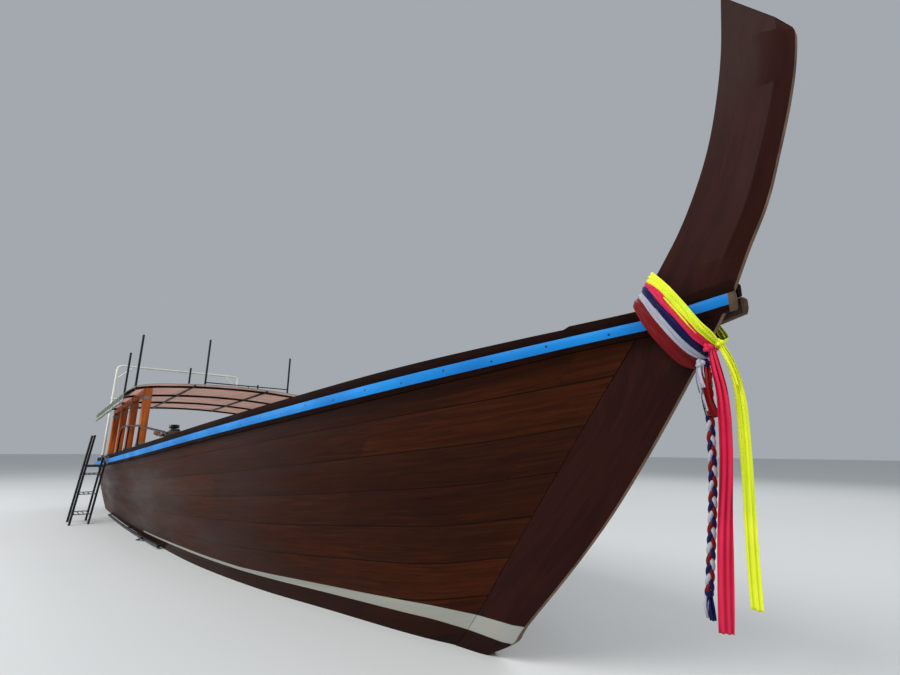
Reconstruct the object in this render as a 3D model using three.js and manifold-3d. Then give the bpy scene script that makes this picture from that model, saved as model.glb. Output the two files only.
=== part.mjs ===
import * as THREE from "three";
import { ConvexGeometry } from "three/addons/geometries/ConvexGeometry.js";
import { mergeVertices } from "three/addons/utils/BufferGeometryUtils.js";
import Module from "manifold-3d";

// Longtail boat, millimetres. X points forward, Y to port, Z up.
// The origin is on the centreline amidships, at the water's surface.

const wasm = await Module();
wasm.setup();
const V = (x, y, z) => new THREE.Vector3(x, y, z);

// Gaps and timber thicknesses
const GAP = 0.3; // between pieces that touch
const RUNNING = 0.8; // between a pin and the many-sided hole that it turns in
const PLANK = 35;
const RIB_DEPTH = 60;
const KEEL_HALF = 60;
const KEEL_BELOW_RABBET = 90;
const KEEL_ABOVE_RABBET = 30;
const BAR_SIDES = 8; // sides of a round bar or pipe

// Hull sections from the transom to the stem joint. The keel edge, the chine corner and the sheer of
// the port planking, which the rounded chine joins by straight floors and straight sides.
const SECTION_COLUMNS = ["xKeel", "zKeel", "xChine", "yChine", "zChine", "xSheer", "ySheer", "zSheer"];
const SECTIONS = [
  [-4300, -215, -4331, 850, -120, -4640, 1085, 835],
  [-3000, -255, -3000, 845, -150, -3000, 1125, 895],
  [-1500, -270, -1500, 825, -160, -1500, 1120, 982],
  [0, -275, 0, 780, -165, 150, 1052, 1100],
  [1300, -270, 1320, 700, -158, 1800, 910, 1248],
  [2400, -250, 2450, 535, -140, 3250, 722, 1388],
  [3200, -215, 3300, 345, -100, 4380, 500, 1512],
  [3900, -150, 4000, 195, -45, 5180, 278, 1603],
  [4300, -60, 4480, 90, 72, 5705, 112, 1662],
].map((row) => Object.fromEntries(SECTION_COLUMNS.map((name, k) => [name, row[k]])));
const FLOOR_ROUND = 0.3; // share of the floor and of the side that the chine's round takes up
const SIDE_ROUND = 0.16;
const SIDE_BULGE = 14;
const SHEER_STEP = 8; // a section's steps run from 0 at the keel to 8 at the sheer
const HULL_SLICES = 20;
const SEAM = 3; // step between the bottom and the side planking
const BUTTS = [0, 7, 14, HULL_SLICES]; // slices where the side planks meet end to end
const LENGTHS = ["aft", "middle", "fore"];

// Stem and prow, by levels up from the forefoot. The lower levels end aft on the planks at a section
// step of the last hull section, and the upper ones on the prow's own back edge.
const STEM_LEVELS = [
  // xFront, zFront, halfFront, halfBevel, sectionStep
  [4303, -150, 45, 50, 0],
  [4600, 0, 30, 45, 2],
  [4790, 110, 22, 47, 3],
  [4825, 155, 20, 48, 4],
  [4860, 200, 18, 48, 5],
  [5130, 490, 16, 50, 5.5],
  [5380, 780, 15, 50, 6],
  [5610, 1090, 15, 50, 6.5],
  [5820, 1400, 15, 50, 7],
  [5965, 1625, 15, 50, 8],
];
const PROW_LEVELS = [
  // xFront, zFront, xBack, zBack
  [5990, 1668, 5655, 1712],
  [6030, 1740, 5660, 1768],
  [6110, 1910, 5765, 1920],
  [6200, 2090, 5860, 2060],
  [6270, 2290, 5945, 2220],
  [6330, 2480, 6020, 2400],
  [6370, 2640, 6080, 2610],
  [6390, 2780, 6128, 2850],
  [6385, 2800, 6160, 3130],
];
const PROW_HALF = 54;
const PROW_TIP_HALF = 44;
const BEVEL_SHARE = 0.2;

// Rails along the sheer
const RAIL_HEIGHT = 95; // blue rubbing rail
const RAIL_THICK = 44;
const RAIL_BOW_HEIGHT = 72;
const CAP_HEIGHT = 70; // dark gunwale on top
const CAP_BOW_HEIGHT = 45;
const CAP_OUT = 16;
const CAP_IN = 112;
const RAILS_MEET = { blue: -420, cap: -520 }; // x where the aft and fore lengths butt
const BOW_RAIL_POINTS = [
  // x, y of the inner face, z of the top, past the last hull section
  [5830, 76, 1690],
  [5950, 50, 1713],
  [6045, 30, 1730],
];

// Inside the hull
const RIB_WIDTH = 45;
const RIB_SPACING = 740;
const RIBS_FROM = -3960;
const RIB_COUNT = 12;
const RISER_DEPTH = 30;
const RISER_HEIGHT = 60;
const RISER_REACH = 250; // past each edge of the thwart or deck that it carries
const CLAMP = { from: -4300, to: 5000, below: 130, height: 80 }; // shelf along the side frames' tops
const FRAME_JOINT = [
  // x, z where the floor timbers end and the side frames start
  [-4600, -40],
  [2500, -40],
  [4400, 310],
];
const KEELSON = { from: -4200, rise: 3000, to: 4260, half: 55, top: -60, bowTop: 230 };
const SOLE = { from: -3980, to: 2950, top: -34, thick: 25, grooves: 6, spacing: 150, groove: 8, deep: 14 };
const THWARTS = [
  // name, x of its middle, width, top
  ["thwart_1", 2260, 260, 640],
  ["thwart_2", 1220, 280, 560],
  ["thwart_3", 0, 280, 500],
  ["thwart_4", -1300, 280, 460],
  ["thwart_5", -2480, 280, 430],
];
const THWART_THICK = 35;
const FOREDECK = { from: 3350, to: 4950, zFrom: 1312, zTo: 1492, thick: 30 };
const STERN_DECK = { from: -4120, to: -3500, top: 420, thick: 30 };
const ENGINE_BEAM = { x: -4440, half: 75, low: 640, top: 800 };

// House on the after half of the hull
const HOUSE_BOWS = [-710, -1700, -2650, -3550];
const HOUSE_FALL = 0.042; // the roof comes down this much per length going aft
const CROWN = 1945; // middle of the pipe bow at the front, on the centreline
const ROOF_PROFILE = [
  // y, how far below the crown
  [0, 0],
  [350, 8],
  [700, 28],
  [1000, 56],
  [1180, 100],
  [1290, 185],
];
const PIPE = 16; // radius of the bows and of the pipes along the roof
const PIPE_SIDES = 6;
const ROOF_PIPES = [-1290, -1180, -500, 500, 1180, 1290];
const POLE = 14;
const POLES = [
  // x, y, top
  [-710, -1180, 2580],
  [-710, -350, 2640],
  [-710, 860, 2520],
  [-1700, -1180, 2480],
  [-1700, -350, 2345],
  [-1700, 727, 2170],
];
const ROOF_RAIL = { z: 2012, stub: 250 };
const COVER = { from: -560, to: -3660, slices: 8, thick: 5, above: 0.8 };
const VALANCE = { off: 14.6, drop: 120, thick: 5 };
const POST = { half: 60, y: 1030, deep: 45 };
const PLATE = { half: 40, height: 80, joints: { port: [-2175], starboard: [-2175, -1205] } };
const ARCH = { x: -4060, y: 1085, top: 2600, radius: 20, brace: 260 };
const HANDRAIL = [
  // x, y, z above the gunwale
  [-2080, -1105, 1],
  [-2060, -1106, 240],
  [-1930, -1108, 365],
  [-1300, -1106, 330],
  [-500, -1094, 245],
  [300, -1036, 110],
  [620, -1004, 52],
  [700, -1000, 2],
];
const HANDRAIL_FEET = [3, 4]; // rows of the list where a stanchion stands
const HANDRAIL_RADIUS = 13;
const HULL_BAR = { from: -3400, to: 600, step: 5, radius: 18, off: 45, leg: 9, legs: [0, 3, 6] };

// Tail: engine on a swivelling post, long shaft and propeller. Its own places are along the shaft,
// forward of the tilting pin, which the pitch then turns.
const PIVOT = V(-4440, 0, 1085);
const TAIL_REST_PITCH = THREE.MathUtils.degToRad(8);
const SOCKET = { radius: 46, top: 955, flange: 95, flangeThick: 14 };
const YOKE = { disc: 66, discTop: 985, arm: 212, armThick: 14, armHalf: 38 };
const TILT_PIN = 14;
const CRADLE = { aft: -300, fore: 740, y: 172, half: 20, high: 25 };
const TILLER = [
  // x, z
  [735, 0],
  [860, 20],
  [1240, 70],
];
const TILLER_RADIUS = 17;
const BLOCK = { aft: 130, fore: 560, half: 128, low: -60, high: 190 };
const BLOCK_RIBS = { count: 5, half: 6, proud: 10, inset: 70, low: -30, high: 160 };
const PULLEYS = [
  // xAft, xFore, y, z, radius, past the block's fore face
  [0, 34, 0, -10, 68],
  [0, 34, 0, 128, 52],
  [-20, 30, 185, 110, 30],
];
const BELT = { aft: 9, fore: 25, out: 5, in: 3 };
const OIL_FILTER = { x: 260, z: 95, radius: 38, long: 85 };
const INTAKE = { out: 52, up: 44, radius: 24, runner: 17 };
const TUBE = { radius: 30, end: -3560 };
const PROPELLER = { aft: -3690, fore: -3575, hub: 34, radius: 165, blades: 3, root: 100, tip: 70 };

// Boarding ladder on the starboard quarter, hinged at the gunwale
const LADDER = {
  xAft: -2780,
  xFore: -2350,
  hinge: V(0, -1196, 952),
  innerFoot: V(0, -1335, -600),
  outerTop: V(0, -1385, 1270),
  outerFoot: V(0, -1550, -490),
  radius: 15,
  treads: 5,
  lowTread: -420,
  highTread: 700,
  treadThick: 6,
  tie: 820,
  pin: 36,
  pinRadius: 11,
  braceFrom: -540,
  braceTo: V(-330, -914, 40),
};
const HINGE_PLATE = [
  // y and z from the pin
  [-28, -14],
  [-28, 20],
  [-8, 28],
  [22, 6],
  [60, -40],
  [60, -105],
  [10, -105],
];
const LADDER_HINGES = [
  ["ladder_hinge_aft", LADDER.xAft - 27],
  ["ladder_hinge_fore", LADDER.xFore + 27],
];

// Colours from the object
const PAINT = {
  plank: [0x4a2312, 0.35, 0],
  bottom: [0x3a1c10, 0.45, 0],
  stem: [0x52291a, 0.35, 0],
  gunwale: [0x2a1510, 0.5, 0],
  rail: [0x1f86c8, 0.4, 0],
  inside: [0x6b4a33, 0.6, 0],
  deck: [0x7a5a40, 0.65, 0],
  post: [0xa8551f, 0.35, 0],
  pipe: [0x1d1f22, 0.45, 0.6],
  white: [0xe8e6df, 0.45, 0.1],
  cover: [0x8f8478, 0.85, 0],
  steel: [0x7d8083, 0.35, 0.9],
  engine: [0x3f5a4a, 0.5, 0.4],
  cast: [0x4a4a4a, 0.6, 0.7],
  rust: [0x6a4a3a, 0.8, 0.5],
  bronze: [0xa8834a, 0.35, 0.9],
  tank: [0xb02a20, 0.5, 0],
  pink: [0xe8406a, 0.6, 0],
  yellow: [0xd8f020, 0.6, 0],
  red: [0xb81c28, 0.7, 0],
};
const paint = Object.fromEntries(
  Object.entries(PAINT).map(([name, [color, roughness, metalness]]) => [
    name,
    new THREE.MeshStandardMaterial({ color, roughness, metalness }),
  ]),
);

const mirrored = (p) => V(p.x, -p.y, p.z);
const steps = (from, to, count) => {
  return Array.from({ length: count + 1 }, (_, k) => from + ((to - from) * k) / count);
};

// Solids

function signedVolume(geometry) {
  const p = geometry.getAttribute("position");
  const index = geometry.index;
  let six = 0;
  for (let k = 0; k < index.count; k += 3) {
    const [a, b, c] = [0, 1, 2].map((n) => V(0, 0, 0).fromBufferAttribute(p, index.getX(k + n)));
    six += a.dot(b.cross(c));
  }
  return six / 6;
}

const reversed = (faces) => faces.map((_, k) => faces[k - (k % 3) + (2 - (k % 3))]);

function outwardFacing(points, faces) {
  const geometry = new THREE.BufferGeometry().setFromPoints(points);
  geometry.setIndex(faces);
  if (signedVolume(geometry) < 0) geometry.setIndex(reversed(faces));
  return geometry;
}

// A closed skin between two grids of points, joined along their edges. In a ring the last row meets
// the first.
function skin(front, back, ring = false) {
  const rows = front.length;
  const columns = front[0].length;
  const points = [...front.flat(), ...back.flat()];
  const at = (side, i, j) => side * rows * columns + (i % rows) * columns + j;
  const faces = [];
  const quad = (a, b, c, d) => faces.push(a, b, c, a, c, d);
  for (let i = 0; i < (ring ? rows : rows - 1); i++) {
    for (let j = 0; j < columns - 1; j++) {
      quad(at(0, i, j), at(0, i + 1, j), at(0, i + 1, j + 1), at(0, i, j + 1));
      quad(at(1, i, j), at(1, i, j + 1), at(1, i + 1, j + 1), at(1, i + 1, j));
    }
    quad(at(0, i, 0), at(1, i, 0), at(1, i + 1, 0), at(0, i + 1, 0));
    quad(at(0, i, columns - 1), at(0, i + 1, columns - 1), at(1, i + 1, columns - 1), at(1, i, columns - 1));
  }
  for (let j = 0; j < columns - 1 && !ring; j++) {
    quad(at(0, 0, j), at(0, 0, j + 1), at(1, 0, j + 1), at(1, 0, j));
    quad(at(0, rows - 1, j), at(1, rows - 1, j), at(1, rows - 1, j + 1), at(0, rows - 1, j + 1));
  }
  return outwardFacing(points, faces);
}

function toSolid(geometry) {
  const bare = geometry.clone();
  bare.deleteAttribute("normal");
  bare.deleteAttribute("uv");
  const merged = mergeVertices(bare, 1e-3);
  const mesh = new wasm.Mesh({
    numProp: 3,
    vertProperties: new Float32Array(merged.attributes.position.array),
    triVerts: new Uint32Array(merged.index.array),
  });
  return new wasm.Manifold(mesh);
}

function toGeometry(solid) {
  const mesh = solid.getMesh();
  const geometry = new THREE.BufferGeometry();
  geometry.setAttribute("position", new THREE.BufferAttribute(new Float32Array(mesh.vertProperties), 3));
  geometry.setIndex(new THREE.BufferAttribute(new Uint32Array(mesh.triVerts), 1));
  geometry.computeVertexNormals();
  return geometry;
}

const join = (solids) => solids.reduce((whole, one) => whole.add(one));

function box(x0, x1, y0, y1, z0, z1) {
  const geometry = new THREE.BoxGeometry(x1 - x0, y1 - y0, z1 - z0);
  return geometry.translate((x0 + x1) / 2, (y0 + y1) / 2, (z0 + z1) / 2);
}
const block = (...sides) => toSolid(box(...sides));

// A straight round bar from a to b.
function bar(a, b, radius, sides = BAR_SIDES) {
  const along = b.clone().sub(a);
  const geometry = new THREE.CylinderGeometry(radius, radius, along.length(), sides);
  geometry.applyQuaternion(new THREE.Quaternion().setFromUnitVectors(V(0, 1, 0), along.clone().normalize()));
  return geometry.translate((a.x + b.x) / 2, (a.y + b.y) / 2, (a.z + b.z) / 2);
}

// A pipe that follows corner points, each bend mitred where its two straights meet.
function pipe(points, radius, sides = BAR_SIDES) {
  const heading = points.slice(1).map((p, k) => p.clone().sub(points[k]).normalize());
  const across = V(0.01, 0.02, 1).cross(heading[0]).normalize();
  const rings = points.map((p, k) => {
    const before = heading[Math.max(0, k - 1)];
    const after = heading[Math.min(heading.length - 1, k)];
    const mitre = before.clone().add(after).normalize();
    const one = across.clone().addScaledVector(before, -across.dot(before)).normalize();
    const two = before.clone().cross(one);
    return steps(0, sides - 1, sides - 1).map((n) => {
      const turn = (2 * Math.PI * n) / sides;
      const off = one.clone().multiplyScalar(radius * Math.cos(turn));
      off.addScaledVector(two, radius * Math.sin(turn));
      return p.clone().add(off).addScaledVector(before, -mitre.dot(off) / mitre.dot(before));
    });
  });
  const faces = [];
  rings.slice(1).forEach((_, k) => {
    for (let n = 0; n < sides; n++) {
      const [a, b] = [k * sides + n, k * sides + ((n + 1) % sides)];
      faces.push(a, b, b + sides, a, b + sides, a + sides);
    }
  });
  const last = (rings.length - 1) * sides;
  for (let n = 1; n < sides - 1; n++) faces.push(0, n + 1, n, last, last + n, last + n + 1);
  return outwardFacing(rings.flat(), faces);
}

const pipeSolid = (...given) => toSolid(pipe(...given));

// A flat outline in X and Z, as thick as y1 - y0.
function plateXZ(points, y0, y1) {
  const shape = new THREE.Shape(points.map(([x, z]) => new THREE.Vector2(x, z)));
  const geometry = new THREE.ExtrudeGeometry(shape, { depth: y1 - y0, bevelEnabled: false });
  return geometry.rotateX(Math.PI / 2).translate(0, y1, 0);
}

// A flat outline in Y and Z, as thick as x1 - x0.
function plateYZ(points, x0, x1) {
  const shape = new THREE.Shape(points.map(([y, z]) => new THREE.Vector2(y, z)));
  const geometry = new THREE.ExtrudeGeometry(shape, { depth: x1 - x0, bevelEnabled: false });
  return geometry.rotateX(Math.PI / 2).rotateZ(Math.PI / 2).translate(x0, 0, 0);
}

function piece(name, shape, material) {
  const geometry = shape.isBufferGeometry ? shape : toGeometry(shape);
  const mesh = new THREE.Mesh(geometry, material);
  mesh.name = name;
  return mesh;
}

// Hull surface

const curveThrough = (points) => new THREE.CatmullRomCurve3(points, false, "centripetal");
const keelLine = curveThrough(SECTIONS.map((s) => V(s.xKeel, KEEL_HALF + GAP, s.zKeel)));
const chineLine = curveThrough(SECTIONS.map((s) => V(s.xChine, s.yChine, s.zChine)));
const sheerLine = curveThrough(SECTIONS.map((s) => V(s.xSheer, s.ySheer, s.zSheer)));

function sectionPoints(u) {
  const keel = keelLine.getPoint(u);
  const chine = chineLine.getPoint(u);
  const sheer = sheerLine.getPoint(u);
  const floorEnd = chine.clone().lerp(keel, FLOOR_ROUND);
  const sideStart = chine.clone().lerp(sheer, SIDE_ROUND);
  const round = new THREE.QuadraticBezierCurve3(floorEnd, chine, sideStart);
  const side = (share, bulge) => chine.clone().lerp(sheer, share).add(V(0, bulge, 0));
  return [
    keel,
    keel.clone().lerp(floorEnd, 0.5),
    floorEnd,
    round.getPoint(1 / 3),
    round.getPoint(2 / 3),
    sideStart,
    side(0.44, SIDE_BULGE),
    side(0.72, SIDE_BULGE),
    sheer,
  ];
}

function onHull(u, step) {
  const points = sectionPoints(u);
  const low = Math.min(Math.floor(step), SHEER_STEP - 1);
  return points[low].lerp(points[low + 1], step - low);
}

// A point of the port planking, moved inwards from its outer face.
function hullPoint(u, step, inwards) {
  const point = onHull(u, step);
  if (inwards === 0) return point;
  if (step === 0) return point.add(V(0, 0, inwards * 1.03));
  const du = 0.004;
  const dj = 0.3;
  const ahead = onHull(Math.min(1, u + du), step).sub(onHull(Math.max(0, u - du), step));
  const up = onHull(u, Math.min(SHEER_STEP, step + dj)).sub(onHull(u, Math.max(0, step - dj)));
  const outwards = ahead.cross(up).normalize();
  const height = point.z;
  point.addScaledVector(outwards, outwards.y > 0 ? -inwards : inwards);
  if (step === SHEER_STEP) point.z = height;
  return point;
}

// The sheer at a place along the hull.
function sheerAt(x) {
  const k = wholeRun.findIndex((u) => sheerLine.getPoint(u).x >= x);
  const [a, b] = [wholeRun[k - 1], wholeRun[k]].map((u) => sheerLine.getPoint(u));
  return a.lerp(b, (x - a.x) / (b.x - a.x));
}

const STEM_GAP_SHARE = 0.0006;
const BUTT_GAP_SHARE = 0.00004;
const ROOM_SLICES = 18; // the room inside stops short of the stem
const wholeRun = [...steps(0, 1, HULL_SLICES).slice(0, -1), 1 - STEM_GAP_SHARE];
const roomRun = wholeRun.slice(0, ROOM_SLICES + 1);

function plankSkin(fromStep, toStep, run) {
  const edge = 0.0015;
  const inner = steps(0, SHEER_STEP, SHEER_STEP).filter((j) => j > fromStep && j < toStep);
  const low = fromStep === 0 ? 0 : fromStep + edge;
  const high = toStep === SHEER_STEP ? toStep : toStep - edge;
  const across = [low, ...inner, high];
  const grid = (inwards) => run.map((u) => across.map((j) => hullPoint(u, j, inwards)));
  return skin(grid(0), grid(PLANK));
}

// The room inside the hull, at a distance inwards from the planks' outer face.
function hullRoom(inwards, lift = 0) {
  const across = steps(0, SHEER_STEP, SHEER_STEP);
  const port = roomRun.map((u) => {
    const row = across.map((j) => hullPoint(u, j, inwards));
    row[SHEER_STEP].z += lift;
    return row;
  });
  return toSolid(skin(port, port.map((row) => row.map(mirrored))));
}

// The raked slab that the transom is cut from, from the planks' ends forward.
function transomSlab(aft, fore) {
  const [stern] = SECTIONS;
  const rake = (stern.xSheer - stern.xKeel) / (stern.zSheer - stern.zKeel);
  const x = (z) => stern.xKeel + rake * (z - stern.zKeel);
  const [low, high] = [-400, 1200];
  const outline = [[x(low) + aft, low], [x(low) + fore, low], [x(high) + fore, high], [x(high) + aft, high]];
  return toSolid(plateXZ(outline, -1400, 1400));
}

const PLANKS_CLEAR = PLANK + 0.5;
const RIBS_CLEAR = PLANKS_CLEAR + RIB_DEPTH;
const TRANSOM_THICK = 50;
const HEAD_LIFT = 60;
const behindTransom = transomSlab(-600, TRANSOM_THICK + 0.4);
const roomInPlanks = hullRoom(PLANKS_CLEAR).subtract(behindTransom);
const roomInRibs = hullRoom(RIBS_CLEAR + 0.4, HEAD_LIFT).subtract(behindTransom);
const ribsCore = hullRoom(RIBS_CLEAR, HEAD_LIFT);

const starboardOf = (geometry) => {
  const turned = geometry.clone().scale(1, -1, 1);
  turned.setIndex(reversed(Array.from(turned.index.array)));
  return turned;
};

function planking() {
  const bottom = plankSkin(0, SEAM, wholeRun);
  const sides = LENGTHS.map((length, k) => {
    const run = wholeRun.slice(BUTTS[k], BUTTS[k + 1] + 1);
    if (k > 0) run[0] += BUTT_GAP_SHARE;
    return [length, plankSkin(SEAM, SHEER_STEP, run)];
  });
  return [
    piece("bottom_planks_port", bottom, paint.bottom),
    piece("bottom_planks_starboard", starboardOf(bottom), paint.bottom),
    ...sides.flatMap(([length, port]) => [
      piece(`side_planks_port_${length}`, port, paint.plank),
      piece(`side_planks_starboard_${length}`, starboardOf(port), paint.plank),
    ]),
  ];
}

function keel() {
  const side = wholeRun.map((u) => {
    const rabbet = keelLine.getPoint(u);
    return [
      V(rabbet.x, 45, rabbet.z - KEEL_BELOW_RABBET),
      V(rabbet.x, KEEL_HALF, rabbet.z - 20),
      V(rabbet.x, KEEL_HALF, rabbet.z + KEEL_ABOVE_RABBET),
    ];
  });
  return skin(side, side.map((row) => row.map(mirrored)));
}

function transom() {
  return hullRoom(PLANKS_CLEAR).intersect(transomSlab(-50, TRANSOM_THICK));
}

function stemSkin(grown) {
  const lower = STEM_LEVELS.map(([x, z, halfFront, halfBevel, step]) => {
    const back = onHull(1, step);
    back.x -= grown;
    const front = V(x + grown, halfFront + grown, z);
    const bevel = front.clone().lerp(back, BEVEL_SHARE);
    bevel.y = halfBevel + grown;
    back.y += grown;
    return [front, bevel, back];
  });
  const upper = PROW_LEVELS.map(([xFront, zFront, xBack, zBack], k) => {
    const half = THREE.MathUtils.lerp(PROW_HALF, PROW_TIP_HALF, k / (PROW_LEVELS.length - 1)) + grown;
    const front = V(xFront + grown, 15 + grown, zFront);
    const back = V(xBack - grown, half, zBack);
    const bevel = front.clone().lerp(back, BEVEL_SHARE);
    bevel.y = half;
    return [front, bevel, back];
  });
  const port = [...lower, ...upper];
  return skin(port, port.map((row) => row.map(mirrored)));
}

// Points along the sheer: outward direction, height and share of the way to the bow.
function sheerStations() {
  const along = wholeRun.map((u) => {
    const p = sheerLine.getPoint(u);
    const ahead = sheerLine.getTangent(u);
    const out = V(-ahead.y, ahead.x, 0).normalize();
    return { p, out: out.y < 0 ? out.negate() : out, bow: THREE.MathUtils.smoothstep(u, 0.7, 1) };
  });
  const beyond = BOW_RAIL_POINTS.map(([x, y, z]) => {
    return { p: V(x, y, z), out: V(0.24, 0.97, 0), bow: 1 };
  });
  return [...along, ...beyond];
}

function rubRail() {
  const rows = sheerStations().map(({ p, out, bow }) => {
    const height = THREE.MathUtils.lerp(RAIL_HEIGHT, RAIL_BOW_HEIGHT, bow);
    const at = (side, down) => p.clone().addScaledVector(out, side).add(V(0, 0, -down));
    const edges = (side) => [at(side, height), at(side, 0)];
    return { outer: edges(RAIL_THICK), inner: edges(GAP + 0.4) };
  });
  return skin(rows.map((row) => row.outer), rows.map((row) => row.inner));
}

function gunwale() {
  const rows = sheerStations().map(({ p, out, bow }) => {
    const height = THREE.MathUtils.lerp(CAP_HEIGHT, CAP_BOW_HEIGHT, bow);
    const inside = Math.min(CAP_IN, p.y - 12);
    const at = (side, up) => p.clone().addScaledVector(out, side).add(V(0, 0, up));
    const edges = (side) => [at(side, GAP), at(side, height)];
    return { outer: edges(CAP_OUT), inner: edges(-inside) };
  });
  return skin(rows.map((row) => row.outer), rows.map((row) => row.inner));
}

function rails() {
  const stemRoom = toSolid(stemSkin(0.4));
  const sides = [
    ["port", (g) => g],
    ["starboard", starboardOf],
  ];
  return sides.flatMap(([side, turn]) => {
    const blue = toSolid(turn(rubRail())).subtract(stemRoom);
    const cap = toSolid(turn(gunwale())).subtract(stemRoom);
    const cut = (rail, from, to) => rail.intersect(block(from, to, -1400, 1400, 0, 2000));
    return [
      piece(`rub_rail_${side}_aft`, cut(blue, -5000, RAILS_MEET.blue), paint.rail),
      piece(`rub_rail_${side}_fore`, cut(blue, RAILS_MEET.blue + GAP, 7000), paint.rail),
      piece(`gunwale_${side}_aft`, cut(cap, -5000, RAILS_MEET.cap), paint.gunwale),
      piece(`gunwale_${side}_fore`, cut(cap, RAILS_MEET.cap + GAP, 7000), paint.gunwale),
    ];
  });
}

const bothWays = (outline) => toSolid(plateXZ(outline, -1400, 1400));

// A level or sloping board across the hull, fitted between the ribs' inner faces.
const acrossHull = (outline) => bothWays(outline).intersect(roomInRibs);

const level = (from, to, top, thick) => [
  [from, top - thick],
  [to, top - thick],
  [to, top],
  [from, top],
];

// Everything below the joint between the floor timbers and the side frames, raised by a gap.
function belowJoint(gap) {
  const top = FRAME_JOINT.map(([x, z]) => [x, z + gap]).reverse();
  return bothWays([[-4600, -400], [4400, -400], ...top]);
}

function frames() {
  const slabs = steps(0, RIB_COUNT - 1, RIB_COUNT - 1).map((k) => {
    const x = RIBS_FROM + k * RIB_SPACING;
    return block(x - RIB_WIDTH / 2, x + RIB_WIDTH / 2, -1300, 1300, -400, 1700);
  });
  return join(slabs).intersect(roomInPlanks).subtract(ribsCore);
}

function floorTimbers() {
  const { from, rise, to, half, top, bowTop } = KEELSON;
  const backbone = [[from, -400], [to, -400], [to, bowTop], [rise, top], [from, top]];
  const keelson = toSolid(plateXZ(backbone, -half, half)).intersect(roomInPlanks);
  return join([frames().intersect(belowJoint(0)), keelson]);
}

// Side frames of both sides, joined by the clamp under the gunwale and the risers under the thwarts.
function sideFrames() {
  const inRisers = hullRoom(RIBS_CLEAR + RISER_DEPTH, HEAD_LIFT);
  const band = hullRoom(RIBS_CLEAR - 8).subtract(behindTransom).subtract(inRisers);
  const carried = [
    ...THWARTS.map(([, x, width, top]) => [x - width / 2, x + width / 2, top - THWART_THICK]),
    [STERN_DECK.from, STERN_DECK.to, STERN_DECK.top - STERN_DECK.thick],
  ];
  const risers = carried.map(([from, to, seat]) => {
    return bothWays(level(from - RISER_REACH, to + RISER_REACH, seat - GAP, RISER_HEIGHT));
  });
  const { from, to, below, height } = CLAMP;
  const top = steps(from, to, 8).map((x) => [x, sheerAt(x).z - below]);
  const clamp = bothWays([...top, ...top.map(([x, z]) => [x, z - height]).reverse()]);
  const shelves = join([clamp, ...risers]).intersect(band);
  return join([frames().subtract(belowJoint(GAP)), shelves]);
}

function framing() {
  const both = sideFrames();
  return [
    piece("floor_timbers", floorTimbers(), paint.inside),
    piece("side_frames_port", both.intersect(block(-5000, 6000, 1, 1400, -400, 1800)), paint.inside),
    piece("side_frames_starboard", both.intersect(block(-5000, 6000, -1400, -1, -400, 1800)), paint.inside),
  ];
}

function sole() {
  const board = acrossHull(level(SOLE.from, SOLE.to, SOLE.top, SOLE.thick));
  const grooves = steps(0, SOLE.grooves - 1, SOLE.grooves - 1).map((k) => {
    const y = (k - (SOLE.grooves - 1) / 2) * SOLE.spacing;
    const [y0, y1] = [y - SOLE.groove / 2, y + SOLE.groove / 2];
    return block(SOLE.from - 10, SOLE.to + 10, y0, y1, SOLE.top - SOLE.deep, SOLE.top + 10);
  });
  return grooves.reduce((whole, groove) => whole.subtract(groove), board);
}

function foredeck() {
  const { from, to, zFrom, zTo, thick } = FOREDECK;
  return acrossHull([
    [from, zFrom - thick],
    [to, zTo - thick],
    [to, zTo],
    [from, zFrom],
  ]);
}

function sternDeck() {
  const { from, to, top, thick } = STERN_DECK;
  return acrossHull(level(from, to, top, thick));
}

function thwarts() {
  return THWARTS.map(([name, x, width, top]) => {
    const board = acrossHull(level(x - width / 2, x + width / 2, top, THWART_THICK));
    return piece(name, board, paint.deck);
  });
}

function engineBeam() {
  const { x, half, low, top } = ENGINE_BEAM;
  return bothWays(level(x - half, x + half, top, top - low)).intersect(roomInPlanks);
}

// House

const roofCentre = (x) => CROWN - HOUSE_FALL * (HOUSE_BOWS[0] - x);

function roofDrop(y) {
  const away = Math.abs(y);
  const k = Math.max(1, ROOF_PROFILE.findIndex(([edge]) => edge >= away));
  const [[y0, d0], [y1, d1]] = [ROOF_PROFILE[k - 1], ROOF_PROFILE[k]];
  return THREE.MathUtils.mapLinear(away, y0, y1, d0, d1);
}

const onRoof = (x, y, lift = 0) => V(x, y, roofCentre(x) - roofDrop(y) + lift);
const roofBreadths = [...ROOF_PROFILE.slice(1).map(([y]) => -y).reverse(), ...ROOF_PROFILE.map(([y]) => y)];

function roofPipes(radius) {
  const bows = HOUSE_BOWS.map((x) => pipeSolid(roofBreadths.map((y) => onRoof(x, y)), radius, PIPE_SIDES));
  const [fore] = HOUSE_BOWS;
  const aft = HOUSE_BOWS.at(-1);
  const along = ROOF_PIPES.map((y) => {
    return toSolid(bar(onRoof(fore + 120, y), onRoof(aft - 60, y), radius, PIPE_SIDES));
  });
  return join([...bows, ...along]);
}

function canopyFrame() {
  const poles = POLES.map(([x, y, top]) => {
    return toSolid(bar(onRoof(x, y), V(x, y, top), POLE, PIPE_SIDES));
  });
  const [, [x, y0], [, y1]] = POLES;
  const rail = toSolid(bar(V(x, y0, ROOF_RAIL.z), V(x, y1, ROOF_RAIL.z), PIPE / 2));
  const stub = toSolid(bar(onRoof(x, ROOF_RAIL.stub), V(x, ROOF_RAIL.stub, ROOF_RAIL.z), PIPE / 2));
  return join([roofPipes(PIPE), ...poles, rail, stub]);
}

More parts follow.
